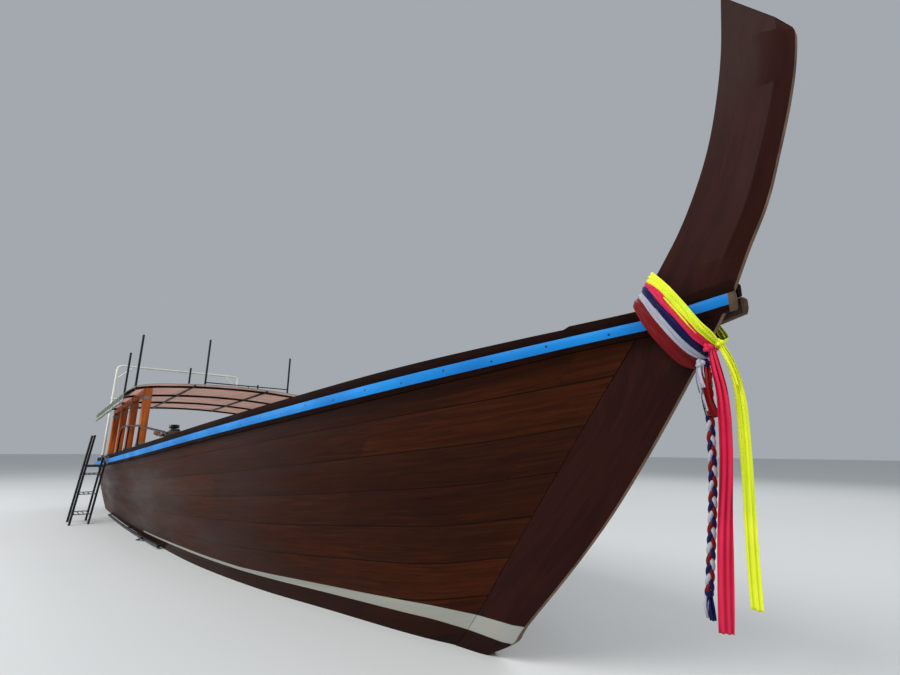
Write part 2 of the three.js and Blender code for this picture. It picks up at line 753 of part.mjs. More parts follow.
// The roof's cover, a distance out from the middle of the pipes.
function coverSide(x, out) {
  return roofBreadths.map((y, k) => {
    const before = onRoof(x, roofBreadths[Math.max(0, k - 1)]);
    const after = onRoof(x, roofBreadths[Math.min(roofBreadths.length - 1, k + 1)]);
    const along = after.sub(before).normalize();
    return onRoof(x, y).addScaledVector(V(0, -along.z, along.y), out);
  });
}

function canopyCover() {
  const places = steps(COVER.from, COVER.to, COVER.slices);
  const side = (out) => places.map((x) => coverSide(x, out));
  const sheet = toSolid(skin(side(PIPE + COVER.above), side(PIPE + COVER.above + COVER.thick)));
  const holes = [...POLES, [POLES[1][0], ROOF_RAIL.stub]].map(([x, y]) => {
    return toSolid(bar(V(x, y, 1600), V(x, y, 2200), POLE + 10));
  });
  return holes.reduce((whole, hole) => whole.subtract(hole), sheet);
}

function valance(side) {
  const places = [COVER.from, COVER.to];
  const [eave] = ROOF_PROFILE.at(-1);
  const at = (x, out, down) => {
    const edge = coverSide(x, PIPE + COVER.above)[0];
    return V(x, side * (eave + VALANCE.off + out), edge.z - down);
  };
  const face = (out) => places.map((x) => [at(x, out, 0), at(x, out, VALANCE.drop)]);
  return skin(face(0), face(VALANCE.thick));
}

// Timber posts joined by the plate that carries the pipes, standing on the gunwale.
function houseSide(side) {
  const top = (x) => onRoof(x, POST.y).z - PIPE + 3;
  const y0 = side * POST.y - PLATE.half;
  const fore = HOUSE_BOWS[0] + POST.half;
  const aft = HOUSE_BOWS.at(-1) - POST.half;
  const under = (x) => top(x) - PLATE.height;
  const edge = [[aft, under(aft)], [fore, under(fore)], [fore, top(fore)], [aft, top(aft)]];
  const plate = plateXZ(edge, y0, y0 + 2 * PLATE.half);
  const posts = HOUSE_BOWS.map((x) => {
    const [x0, x1] = [x - POST.half, x + POST.half];
    const foot = (place) => sheerAt(place).z + CAP_HEIGHT + GAP;
    const outline = [[x0, foot(x0)], [x1, foot(x1)], [x1, top(x1) - 10], [x0, top(x0) - 10]];
    return toSolid(plateXZ(outline, side * POST.y - POST.deep, side * POST.y + POST.deep));
  });
  const rail = toSolid(side > 0 ? gunwale() : starboardOf(gunwale())).translate([0, 0, GAP]);
  const whole = join([toSolid(plate), ...posts]).subtract(roofPipes(PIPE + GAP)).subtract(rail);
  const name = side > 0 ? "port" : "starboard";
  const ends = [-5000, ...PLATE.joints[name], 0];
  const lengths = ends.length > 3 ? LENGTHS : [LENGTHS[0], LENGTHS[2]];
  return lengths.map((length, k) => {
    const room = block(ends[k] + (k && GAP), ends[k + 1], -1400, 1400, 0, 2500);
    return piece(`house_side_${name}_${length}`, whole.intersect(room), paint.post);
  });
}

function sternArch() {
  const { x, y, top, radius, brace } = ARCH;
  const foot = sheerAt(x).z + CAP_HEIGHT - 10;
  const caps = [gunwale(), starboardOf(gunwale())].map((cap) => toSolid(cap).translate([0, 0, GAP]));
  const legs = [-1, 1].map((side) => toSolid(bar(V(x, side * y, foot), V(x, side * y, top), radius)));
  const braces = [-1, 1].map((side) => {
    return toSolid(bar(V(x, side * y, top - brace), V(x, side * (y - brace), top), radius * 0.7));
  });
  const head = toSolid(bar(V(x, -y - radius, top), V(x, y + radius, top), radius));
  const lowBar = top - 2.4 * brace;
  const low = toSolid(bar(V(x, -y, lowBar), V(x, y, lowBar), radius * 0.7));
  const corners = [-1, 1].map((side) => {
    return toSolid(new THREE.SphereGeometry(radius, 8, 6).translate(x, side * y, top));
  });
  return join([...legs, ...braces, head, low, ...corners]).subtract(join(caps));
}

function handrail() {
  const above = ([x, y, up]) => V(x, y, sheerAt(x).z + CAP_HEIGHT + up);
  const rail = pipeSolid(HANDRAIL.map(above), HANDRAIL_RADIUS);
  const stanchions = HANDRAIL_FEET.map((row) => {
    const [x, y] = HANDRAIL[row];
    return toSolid(bar(above([x, y, 1]), above(HANDRAIL[row]), HANDRAIL_RADIUS - 2));
  });
  const cap = toSolid(starboardOf(gunwale())).translate([0, 0, GAP]);
  return join([rail, ...stanchions]).subtract(cap);
}

// The bar follows one step of the hull's sections and stands off the planks on short legs.
function hullBar() {
  const { from, to, step, radius, off, leg, legs } = HULL_BAR;
  const stations = wholeRun.filter((u) => {
    const { x } = sheerLine.getPoint(u);
    return x > from && x < to;
  });
  const at = (u, away) => mirrored(hullPoint(u, step, -away));
  const rod = pipeSolid(stations.map((u) => at(u, off)), radius);
  const stands = legs.map((k) => toSolid(bar(at(stations[k], 0.6), at(stations[k], off), leg)));
  return join([rod, ...stands]);
}

// Tail

function engineSocket() {
  const { x, top } = ENGINE_BEAM;
  const upright = toSolid(bar(V(x, 0, top + GAP), V(x, 0, SOCKET.top), SOCKET.radius, 16));
  const { flange, flangeThick } = SOCKET;
  const foot = block(x - 70, x + 70, -flange, flange, top + GAP, top + GAP + flangeThick);
  return join([upright, foot]);
}

function yoke() {
  const { disc, discTop, arm, armThick, armHalf } = YOKE;
  const base = toSolid(bar(V(0, 0, SOCKET.top + GAP - PIVOT.z), V(0, 0, discTop - PIVOT.z), disc, 16));
  const low = discTop - PIVOT.z - 20;
  const cross = block(-armHalf, armHalf, -arm - armThick, arm + armThick, low, low + 20);
  const hole = toSolid(bar(V(0, -400, 0), V(0, 400, 0), TILT_PIN + RUNNING, 16));
  const arms = [-arm - armThick, arm].map((y) => {
    return block(-armHalf, armHalf, y, y + armThick, low, 34).subtract(hole);
  });
  return join([base, cross, ...arms]);
}

function cradle() {
  const { aft, fore, y, half, high } = CRADLE;
  const rails = [-y, y].map((middle) => block(aft, fore, middle - half, middle + half, -high, high));
  const crosses = [aft, fore - 50].map((x) => block(x, x + 50, -y, y, -high, high));
  const throughTube = toSolid(bar(V(aft - 20, 0, 0), V(aft + 80, 0, 0), TUBE.radius + 1.2, 16));
  const collar = toSolid(bar(V(aft, 0, 0), V(aft + 50, 0, 0), TUBE.radius + 22, 16));
  const inside = block(-50, 50, -y, y, -50, 50);
  const pins = toSolid(bar(V(0, -y - 62, 0), V(0, y + 62, 0), TILT_PIN, 12)).subtract(inside);
  const tiller = pipeSolid(TILLER.map(([x, z]) => V(x, 0, z)), TILLER_RADIUS);
  return join([...rails, ...crosses, collar, pins, tiller]).subtract(throughTube);
}

// What the belt goes round, a distance out from the pulleys' rims.
function beltLoop(out) {
  const points = PULLEYS.flatMap(([, , y, z, radius]) => {
    return steps(0, 23, 23).flatMap((k) => {
      const turn = (2 * Math.PI * k) / 24;
      const [across, up] = [y + (radius + out) * Math.cos(turn), z + (radius + out) * Math.sin(turn)];
      const past = out < 0 ? 5 : 0;
      return [V(BLOCK.fore + BELT.aft - past, across, up), V(BLOCK.fore + BELT.fore + past, across, up)];
    });
  });
  return toSolid(new ConvexGeometry(points));
}

function engineBlock() {
  const { aft, fore, half, low, high } = BLOCK;
  const body = block(aft, fore, -half, half, low, high);
  const skirt = block(aft + 30, fore - 40, -half + 28, half - 28, low - 105, low + 5);
  const housing = toSolid(bar(V(aft - 70, 0, 20), V(aft + 5, 0, 20), 148, 16));
  const feet = [aft + 60, fore - 90].flatMap((x) => {
    return [[-188, -100], [100, 188]].map(([y0, y1]) => block(x, x + 70, y0, y1, CRADLE.high + GAP, 44));
  });
  const pulleys = PULLEYS.map(([x0, x1, y, z, radius]) => {
    return toSolid(bar(V(fore + x0, y, z), V(fore + x1, y, z), radius, 12));
  });
  const belt = beltLoop(BELT.out).subtract(beltLoop(-BELT.in));
  const { count, half: ribHalf, proud, inset, low: ribLow, high: ribHigh } = BLOCK_RIBS;
  const ribs = steps(aft + inset, fore - inset, count - 1).map((x) => {
    return block(x - ribHalf, x + ribHalf, -half - proud, half + proud, ribLow, ribHigh);
  });
  const { x: filterX, z: filterZ, radius: filterRadius, long } = OIL_FILTER;
  const [filterFoot, filterEnd] = [half - 5, half + long].map((y) => V(filterX, y, filterZ));
  const filter = toSolid(bar(filterFoot, filterEnd, filterRadius, 12));
  const alternator = toSolid(bar(V(fore - 150, 185, 110), V(fore - 20, 185, 110), 58, 12));
  const starter = toSolid(bar(V(aft - 60, -150, 65), V(aft + 120, -150, 65), 34, 10));
  return join([body, skirt, housing, ...feet, ...pulleys, belt, ...ribs, filter, alternator, starter]);
}

function engineHead() {
  const { aft, fore, half, high } = BLOCK;
  const head = block(aft + 8, fore - 8, -half + 18, half - 18, high + GAP, high + 62);
  const cover = block(aft + 26, fore - 26, -half + 46, half - 46, high + 60, high + 112);
  const cap = toSolid(bar(V(aft + 90, 0, high + 110), V(aft + 90, 0, high + 132), 26, 12));
  const [y, z] = [half - 18, high + 32];
  const log = [y + INTAKE.out, high + INTAKE.up];
  const runners = steps(aft + 60, fore - 60, 3).map((x) => {
    return toSolid(bar(V(x, y - 8, z), V(x, ...log), INTAKE.runner));
  });
  const intake = toSolid(bar(V(aft + 30, ...log), V(fore - 30, ...log), INTAKE.radius));
  return join([head, cover, cap, ...runners, intake]);
}

function exhaust() {
  const { aft, fore, half, high } = BLOCK;
  const side = -half + 18 - GAP;
  const log = -half - 52;
  const z = high + 32;
  const ports = steps(aft + 60, fore - 60, 3).map((x) => toSolid(bar(V(x, side, z), V(x, log, z), 20)));
  const route = [[fore - 40, z], [aft + 20, z], [aft - 130, z + 60], [aft - 520, z + 150]];
  const pipe = pipeSolid(route.map(([x, up]) => V(x, log, up)), 26);
  const muffler = toSolid(bar(V(aft - 200, log, z + 76), V(aft - 470, log, z + 138), 46, 12));
  return join([...ports, pipe, muffler]);
}

function airFilter() {
  const top = BLOCK.high + 112;
  const x = (BLOCK.aft + BLOCK.fore) / 2 + 60;
  const neck = toSolid(bar(V(x, 0, top + GAP), V(x, 0, top + 34), 32, 12));
  const can = toSolid(bar(V(x, 0, top + 30), V(x, 0, top + 96), 92, 16));
  return join([neck, can]);
}

function tailTube() {
  const { radius, end } = TUBE;
  const front = BLOCK.aft - 70 - GAP;
  const tube = toSolid(bar(V(end, 0, 0), V(front, 0, 0), radius, 12));
  const flange = toSolid(bar(V(front - 24, 0, 0), V(front, 0, 0), 70, 16));
  const fin = toSolid(plateXZ([[end + 10, 0], [end + 20, -210], [end + 70, -225], [end + 420, 0]], -5, 5));
  const guard = toSolid(plateXZ([[end + 10, 0], [end + 20, 90], [end + 60, 96], [end + 330, 0]], -4, 4));
  const bearing = toSolid(bar(V(end, 0, 0), V(end + 120, 0, 0), radius + 10, 12));
  return join([tube, flange, fin, guard, bearing]);
}

// A blade is a thin twisted plate that turns from a steep root to a flatter tip.
function blade() {
  const { aft, fore, hub, radius, root, tip } = PROPELLER;
  const middle = (aft + fore) / 2;
  const rows = steps(0, 1, 4).map((t) => {
    const r = THREE.MathUtils.lerp(hub - 12, radius, t);
    const chord = THREE.MathUtils.lerp(root, tip, t) * (t < 1 ? 1 : 0.55);
    const pitch = THREE.MathUtils.lerp(0.95, 0.38, t);
    return { r, chord, pitch };
  });
  const face = (lift) => rows.map(({ r, chord, pitch }) => {
    return [-0.5, 0, 0.5].map((c) => {
      const camber = c === 0 ? 5 : 0;
      const x = middle + c * chord * Math.sin(pitch) + (lift + camber) * Math.cos(pitch);
      const y = c * chord * Math.cos(pitch) - (lift + camber) * Math.sin(pitch);
      return V(x, y, r);
    });
  });
  return skin(face(-3), face(3));
}

function propeller() {
  const { aft, fore, hub, blades } = PROPELLER;
  const shaft = toSolid(bar(V(fore - 10, 0, 0), V(TUBE.end - GAP, 0, 0), 14, 12));
  const boss = toSolid(bar(V(aft, 0, 0), V(fore, 0, 0), hub, 16));
  const nut = toSolid(bar(V(aft - 30, 0, 0), V(aft + 5, 0, 0), 18, 6));
  const fan = steps(0, blades - 1, blades - 1).map((k) => {
    return toSolid(blade().rotateX((2 * Math.PI * k) / blades));
  });
  return join([shaft, boss, nut, ...fan]);
}

function fuelTank() {
  const deck = STERN_DECK.top + GAP;
  const can = block(-3900, -3560, 420, 660, deck, deck + 290);
  const neck = toSolid(bar(V(-3640, 540, deck + 280), V(-3640, 540, deck + 322), 32, 12));
  const handle = [[-3860, 285], [-3840, 325], [-3740, 325], [-3720, 285]];
  const grip = pipeSolid(handle.map(([x, up]) => V(x, 540, deck + up)), 11);
  return join([can, neck, grip]);
}

function ladder() {
  const { xAft, xFore, hinge, innerFoot, outerTop, outerFoot, radius, treads, treadThick } = LADDER;
  const at = (x, p) => V(x, p.y, p.z);
  const { mapLinear } = THREE.MathUtils;
  const inner = (z) => V(0, mapLinear(z, hinge.z, innerFoot.z, hinge.y, innerFoot.y), z);
  const outer = (z) => V(0, mapLinear(z, outerTop.z, outerFoot.z, outerTop.y, outerFoot.y), z);
  const stringers = [xAft, xFore].map((x) => {
    return pipeSolid([at(x, hinge), at(x, innerFoot), at(x, outerFoot), at(x, outerTop)], radius);
  });
  const ties = [xAft, xFore].map((x) => {
    return toSolid(bar(at(x, inner(LADDER.tie)), at(x, outer(LADDER.tie)), radius * 0.8));
  });
  const boards = steps(LADDER.lowTread, LADDER.highTread, treads - 1).map((z) => {
    return block(xAft, xFore, outer(z).y, inner(z).y, z, z + treadThick);
  });
  const pinEnds = [xAft - LADDER.pin, xFore + LADDER.pin];
  const top = toSolid(bar(at(pinEnds[0], hinge), at(pinEnds[1], hinge), LADDER.pinRadius));
  const foot = toSolid(bar(at(xAft, innerFoot), at(xFore, innerFoot), radius));
  const brace = pipeSolid([at(xFore, inner(LADDER.braceFrom)), LADDER.braceTo], radius * 0.8);
  return join([...stringers, ...ties, ...boards, top, foot, brace]);
}

// A plate on the rubbing rail with the eye that the ladder's pin turns in.
function ladderHinge(x) {
  const { hinge, pinRadius } = LADDER;
  const { y, z } = hinge;
  const outline = HINGE_PLATE.map(([across, up]) => [y + across, z + up]);
  const eye = toSolid(bar(V(x - 40, y, z), V(x + 40, y, z), pinRadius + RUNNING, 16));
  const rail = toSolid(starboardOf(rubRail()));
  const cap = toSolid(starboardOf(gunwale()));
  const grown = [rail.translate([0, -GAP, 0]), rail.translate([0, 0, GAP]), cap.translate([0, -GAP, 0])];
  const timber = join([rail, ...grown]);
  return toSolid(plateYZ(outline, x - 6, x + 6)).subtract(eye).subtract(timber);
}

// Ribbons tied round the prow, by the lower and upper edge of the band at places round it.
const WRAP = [
  // xLow, yLow, zLow, xUp, yUp, zUp, thick
  [5640, 0, 1790, 5758, 0, 1960, 10],
  [5648, -80, 1785, 5766, -74, 1952, 10],
  [5688, -184, 1715, 5835, -146, 1805, 10],
  [5735, -188, 1600, 5890, -142, 1700, 10],
  [5802, -114, 1475, 5948, -122, 1600, 14],
  [5858, -36, 1400, 5992, -42, 1545, 75],
];
const KNOTS = [
  // x, y, z, radius
  [5978, -34, 1500, 34],
  [5915, -46, 1446, 30],
];
const BRAID = [
  // x, y, z
  [5915, -46, 1415.6],
  [5903, -44, 1300],
  [5880, -38, 1000],
  [5840, -34, 720],
  [5800, -30, 480],
];
const BRAID_RADIUS = 17;
const PINK_SASH = [
  // x, y, z down its middle
  [5990, -42, 1465.6],
  [5975, -56, 1330],
  [5940, -62, 1100],
  [5900, -60, 800],
  [5862, -58, 440],
];
const YELLOW_SASH = [
  [6003, -26, 1467.4],
  [6010, -14, 1330],
  [6000, -4, 1100],
  [5984, 0, 850],
  [5965, 4, 530],
];
const SASHES = [
  // name, material, half width, middle
  ["pink_sash", paint.pink, 34, PINK_SASH],
  ["yellow_sash", paint.yellow, 24, YELLOW_SASH],
];
const SASH_THICK = 7;

function ribbonWrap() {
  const port = WRAP.slice(1).reverse().map(([a, b, c, d, e, f, thick]) => [a, -b, c, d, -e, f, thick]);
  const loop = [...WRAP, ...port];
  const face = (share) => loop.map(([a, b, c, d, e, f, thick]) => {
    return [V(a, b, c), V(d, e, f)].map((p, k) => {
      const middle = V(k ? 5880 : 5760, 0, p.z);
      return p.addScaledVector(middle.sub(p).normalize(), share * thick);
    });
  });
  const band = toSolid(skin(face(0), face(1), true));
  const knots = KNOTS.map(([x, y, z, r]) => {
    return toSolid(new THREE.SphereGeometry(r, 10, 8).rotateX(Math.PI / 2).translate(x, y, z));
  });
  return join([band, ...knots]).subtract(toSolid(stemSkin(GAP)));
}

function braid() {
  const curve = new THREE.CatmullRomCurve3(BRAID.map(([x, y, z]) => V(x, y, z)));
  const ring = new THREE.Shape(steps(0, 7, 7).map((k) => {
    const turn = (2 * Math.PI * k) / 8;
    return new THREE.Vector2(BRAID_RADIUS * Math.cos(turn), BRAID_RADIUS * Math.sin(turn));
  }));
  return new THREE.ExtrudeGeometry(ring, { steps: 12, extrudePath: curve, bevelEnabled: false });
}

function sash(half, points) {
  const curve = new THREE.CatmullRomCurve3(points.map(([x, y, z]) => V(x, y, z)));
  const face = (out) => curve.getPoints(8).map(({ x, y, z }) => {
    return [V(x - half, y + out, z), V(x + half, y + out, z)];
  });
  return skin(face(0), face(SASH_THICK));
}

const tail = new THREE.Group();
tail.position.copy(PIVOT);
tail.rotation.y = -TAIL_REST_PITCH;
tail.add(piece("engine_cradle", cradle(), paint.pipe));
tail.add(piece("engine_block", engineBlock(), paint.engine));
tail.add(piece("engine_head", engineHead(), paint.cast));
tail.add(piece("exhaust_pipe", exhaust(), paint.rust));
tail.add(piece("air_filter", airFilter(), paint.pipe));
tail.add(piece("tail_tube", tailTube(), paint.steel));
tail.add(piece("propeller", propeller(), paint.bronze));

const swivel = new THREE.Group();
swivel.position.copy(PIVOT);
swivel.add(piece("swivel_yoke", yoke(), paint.steel));

const group = new THREE.Group();
group.add(piece("keel", keel(), paint.bottom));
group.add(...planking());
group.add(piece("transom", transom(), paint.plank));
group.add(piece("stem_prow", stemSkin(0), paint.stem));
group.add(...rails());
group.add(...framing());
group.add(piece("floorboards", sole(), paint.deck));
group.add(piece("foredeck", foredeck(), paint.deck));
group.add(piece("stern_deck", sternDeck(), paint.deck));
group.add(...thwarts());
group.add(piece("engine_beam", engineBeam(), paint.gunwale));
group.add(piece("canopy_frame", canopyFrame(), paint.pipe));
group.add(piece("canopy_cover", canopyCover(), paint.cover));
group.add(piece("valance_port", valance(1), paint.cover));
group.add(piece("valance_starboard", valance(-1), paint.cover));
group.add(...houseSide(1), ...houseSide(-1));
group.add(piece("stern_arch", sternArch(), paint.white));
group.add(piece("handrail_starboard", handrail(), paint.pipe));
group.add(piece("hull_bar_starboard", hullBar(), paint.pipe));
group.add(piece("engine_socket", engineSocket(), paint.steel));
group.add(piece("fuel_tank", fuelTank(), paint.tank));
group.add(piece("ladder", ladder(), paint.pipe));
group.add(...LADDER_HINGES.map(([name, x]) => piece(name, ladderHinge(x), paint.steel)));
group.add(swivel, tail);
group.add(piece("ribbon_wrap", ribbonWrap(), paint.red));
group.add(piece("braid", braid(), paint.red));
group.add(...SASHES.map(([name, material, half, points]) => piece(name, sash(half, points), material)));

export default group;
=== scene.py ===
import math
from functools import partial

import bpy
import numpy as np
from mathutils import Matrix, Vector


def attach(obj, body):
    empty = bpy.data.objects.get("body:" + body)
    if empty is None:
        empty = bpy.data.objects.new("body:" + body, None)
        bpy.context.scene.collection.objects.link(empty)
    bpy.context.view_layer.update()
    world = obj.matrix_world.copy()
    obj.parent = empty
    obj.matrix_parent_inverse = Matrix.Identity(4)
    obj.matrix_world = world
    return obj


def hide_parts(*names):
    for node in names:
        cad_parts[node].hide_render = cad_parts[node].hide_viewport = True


# Longtail boat, metres. X forward, Y to port, Z up, and the water's surface at Z = 0.

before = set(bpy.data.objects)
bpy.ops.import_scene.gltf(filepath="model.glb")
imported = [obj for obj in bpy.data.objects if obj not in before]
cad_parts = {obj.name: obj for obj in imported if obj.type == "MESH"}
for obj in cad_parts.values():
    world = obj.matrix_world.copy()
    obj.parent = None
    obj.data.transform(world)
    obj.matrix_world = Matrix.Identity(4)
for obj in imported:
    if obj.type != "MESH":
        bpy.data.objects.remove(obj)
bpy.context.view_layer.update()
chance = np.random.default_rng(7)

# Camera: an eye 1.1 m above the water, ahead of the bow on the starboard side
EYE = (6.661, -2.11, 1.10)
camera = bpy.data.objects.new("camera", bpy.data.cameras.new("camera"))
bpy.context.scene.collection.objects.link(camera)
heading = Matrix.Rotation(math.radians(49), 4, "Z")
pitch = Matrix.Rotation(math.radians(103.4), 4, "X")
roll = Matrix.Rotation(math.radians(0.4), 4, "Z")
camera.matrix_world = Matrix.Translation(EYE) @ heading @ pitch @ roll
camera.data.lens = 18.8
camera.data.sensor_width = 36
bpy.context.scene.camera = camera


# Shapes: a shape is (points, faces, finishes of its faces, plane coordinates of its points)

def shape(points, faces, finish, flat):
    """Points (n, 3), faces as arrays with one row of corner numbers each, and two lengths per point."""
    points = np.asarray(points, float).reshape(-1, 3)
    faces = [np.asarray(f, int) for f in faces]
    marks = [np.full(len(f), finish) for f in faces]
    flat = np.zeros((len(points), 2)) if flat is None else np.asarray(flat, float).reshape(-1, 2)
    return points, faces, marks, flat


def together(shapes):
    """Several shapes as one, each one's corner numbers moved on by the points before it."""
    shapes = list(shapes)
    starts = np.cumsum([0] + [len(s[0]) for s in shapes[:-1]])
    points = np.vstack([s[0] for s in shapes])
    faces = [f + start for s, start in zip(shapes, starts) for f in s[1]]
    marks = [m for s in shapes for m in s[2]]
    return points, faces, marks, np.vstack([s[3] for s in shapes])


def grid(rows, columns):
    """Two series of numbers as the first and the second coordinate of a grid of places."""
    return np.meshgrid(rows, columns, indexing="ij")


def pairs(first, second):
    """Two grids of numbers as one grid of pairs."""
    return np.stack(np.broadcast_arrays(first, second), -1)


def around(count, radius, start=0.0):
    """Even places on a circle, as their two distances from its middle."""
    turn = start + 2 * math.pi * np.arange(count) / count
    return radius * np.column_stack([np.cos(turn), np.sin(turn)])


def quads(rows, columns, ring_rows=False, ring_columns=False):
    """Corner numbers of the faces between neighbouring points of a grid."""
    i, j = grid(np.arange(rows - (not ring_rows)), np.arange(columns - (not ring_columns)))
    at = lambda a, b: ((a % rows) * columns + b % columns).ravel()
    return np.stack([at(i, j), at(i + 1, j), at(i + 1, j + 1), at(i, j + 1)], 1)


def skin(outer, inner, finish=0, flat=None, under=None):
    """Closed shell: two grids of the same size, joined along their four edges. The inner one may have
    a finish of its own."""
    rows, columns = outer.shape[:2]
    n = rows * columns
    face = quads(rows, columns)
    edge = np.concatenate([
        np.arange(columns),
        np.arange(1, rows) * columns + columns - 1,
        (rows - 1) * columns + np.arange(columns - 2, -1, -1),
        np.arange(rows - 2, 0, -1) * columns,
    ])
    after = np.roll(edge, -1)
    rim = np.stack([after, edge, edge + n, after + n], 1)[:, ::-1]
    both = None if flat is None else np.concatenate([flat.reshape(-1, 2)] * 2)
    grids = np.concatenate([outer.reshape(-1, 3), inner.reshape(-1, 3)])
    points, faces, marks, both = shape(grids, [face, face[:, ::-1] + n, rim], finish, both)
    if under is not None:
        marks[1] = marks[1] * 0 + under
    return points, faces, marks, both


def loft(rings, finish=0, closed=False, flat=None):
    """Rings of points (m, k, 3) joined one to the next, with a flat end on the first and the last."""
    m, k = rings.shape[:2]
    faces = [quads(m, k, ring_rows=closed, ring_columns=True)]
    if not closed:
        faces += [np.arange(k)[None, ::-1], ((m - 1) * k + np.arange(k))[None]]
    return shape(rings, faces, finish, flat)


def unit(vectors):
    """The same directions, each with a length of 1."""
    return vectors / np.maximum(np.linalg.norm(vectors, axis=-1, keepdims=True), 1e-12)


def lengths(path):
    """Distance run along a path at each of its points."""
    return np.concatenate([[0], np.cumsum(np.linalg.norm(np.diff(path, axis=0), axis=1))])


def frames_along(path, closed):
    """Heading of a path at each point, and two directions across it that turn as little as they can."""
    if closed:
        heading = unit(np.roll(path, -1, 0) - np.roll(path, 1, 0))
    else:
        heading = unit(np.gradient(path, axis=0))
    least = np.eye(3)[np.argmin(np.abs(heading).max(0))]
    side = unit(np.cross(least, heading))
    for k in range(1, len(path)):
        carried = side[k - 1] - heading[k] * (side[k - 1] @ heading[k])
        side[k] = unit(carried)
    return heading, side, np.cross(heading, side)


def tube(path, radius, sides, finish=0, closed=False):
    """Round section of a radius, or of one radius per point, carried along a path."""
    path = np.asarray(path, float)
    _, side, up = frames_along(path, closed)
    size = np.broadcast_to(radius, len(path))[:, None, None]
    rings = path[:, None] + size * (around(sides, 1.0) @ np.stack([side, up], 1))
    return loft(rings, finish, closed)


def rounded(corners, radius, count):
    """Path through corners, each turned by a curve that starts and ends a radius away from it."""
    p = np.asarray(corners, float)
    before = unit(p[:-2] - p[1:-1])
    after = unit(p[2:] - p[1:-1])
    reach = np.minimum(radius, 0.45 * np.minimum(
        np.linalg.norm(p[:-2] - p[1:-1], axis=1), np.linalg.norm(p[2:] - p[1:-1], axis=1)
    ))[:, None]
    t = np.linspace(0, 1, count)[None, :, None]
    a = (p[1:-1] + before * reach)[:, None]
    c = (p[1:-1] + after * reach)[:, None]
    curve = a * (1 - t) ** 2 + 2 * p[1:-1][:, None] * t * (1 - t) + c * t ** 2
    return np.vstack([p[:1], curve.reshape(-1, 3), p[-1:]])


def turned(a, b, profile, sides, finish=0):
    """Round part from a towards b: profile rows are the distance from a and the radius there."""
    a, b = np.asarray(a, float), np.asarray(b, float)
    rows = np.asarray(profile, float)
    axis = unit(b - a)
    least = np.eye(3)[np.argmin(np.abs(axis))]
    side = unit(np.cross(least, axis))
    circle = around(sides, 1.0) @ np.array([side, np.cross(axis, side)])
    rings = a + rows[:, :1, None] * axis + rows[:, 1:, None] * circle
    return loft(rings, finish)


def disc(a, b, radius, edge=0.003, sides=12, finish=0):
    """Round bar from a to b with its two rims turned off by an edge."""
    long = float(np.linalg.norm(np.asarray(b, float) - np.asarray(a, float)))
    edge = min(edge, long * 0.4, radius * 0.4)
    profile = [[0, radius - edge], [edge, radius], [long - edge, radius], [long, radius - edge]]
    return turned(a, b, profile, sides, finish)


def section(middle, across, through, wide, high, radius):
    """Ring round a middle: a rectangle, wide in the direction across and high in the direction through,
    with a quarter turn of a radius at each corner."""
    radius = min(radius, wide * 0.49, high * 0.49)
    x, y = wide / 2 - radius, high / 2 - radius
    turn = (np.arange(4)[:, None] + np.linspace(0, 1, 3)) * np.pi / 2
    a = (np.array([x, -x, -x, x])[:, None] + radius * np.cos(turn)).ravel()
    b = (np.array([y, y, -y, -y])[:, None] + radius * np.sin(turn)).ravel()
    return middle + np.outer(a, across) + np.outer(b, through)


def slab(x0, x1, y0, y1, z0, z1, edge, finish=0):
    """Squared part with every edge rounded: its outline in Y and Z, drawn in at both X ends."""
    y0, y1 = sorted((y0, y1))
    edge = min(edge, abs(x1 - x0) * 0.3)
    rings = []
    for x, inset in ((x0, edge), (x0 + edge, 0), (x1 - edge, 0), (x1, edge)):
        middle = np.array([x, (y0 + y1) / 2, (z0 + z1) / 2])
        rings.append(section(middle, (0, 1, 0), (0, 0, 1), y1 - y0 - 2 * inset, z1 - z0 - 2 * inset, edge))
    return loft(np.array(rings), finish)


def board(path, wide, thick, across, edge):
    """Squared timber carried along a path: wide in the direction across, thick square to it."""
    heading = unit(np.gradient(path, axis=0))
    across = unit(across - heading * (heading @ across)[:, None])
    through = np.cross(heading, across)
    last = len(path) - 1
    rows = [(0, edge, 0), (0, 0, edge), *((k, 0, 0) for k in range(1, last)), (last, 0, -edge),
            (last, edge, 0)]
    return loft(np.array([
        section(path[k] + heading[k] * move, across[k], through[k], wide - 2 * inset, thick - 2 * inset,
                edge)
        for k, inset, move in rows
    ]))


def bolt(place, axis, radius, high, finish=0):
    """Six-sided bolt head standing on a face, its top drawn in a little."""
    place, axis = np.asarray(place, float), unit(np.asarray(axis, float))
    profile = [[-0.001, radius], [high * 0.8, radius], [high, radius * 0.8]]
    return turned(place, place + axis, profile, 6, finish)


def moved(given, turn, offset=(0, 0, 0)):
    """A shape turned by a 3 by 3 matrix and then moved."""
    points, faces, marks, flat = given
    return points @ np.asarray(turn).T + np.asarray(offset, float), faces, marks, flat


def mirrored(given):
    """The same shape on the other side of the boat, its faces turned round to point outwards."""
    points, faces, marks, flat = given
    return points * [1, -1, 1], [f[:, ::-1] for f in faces], marks, flat


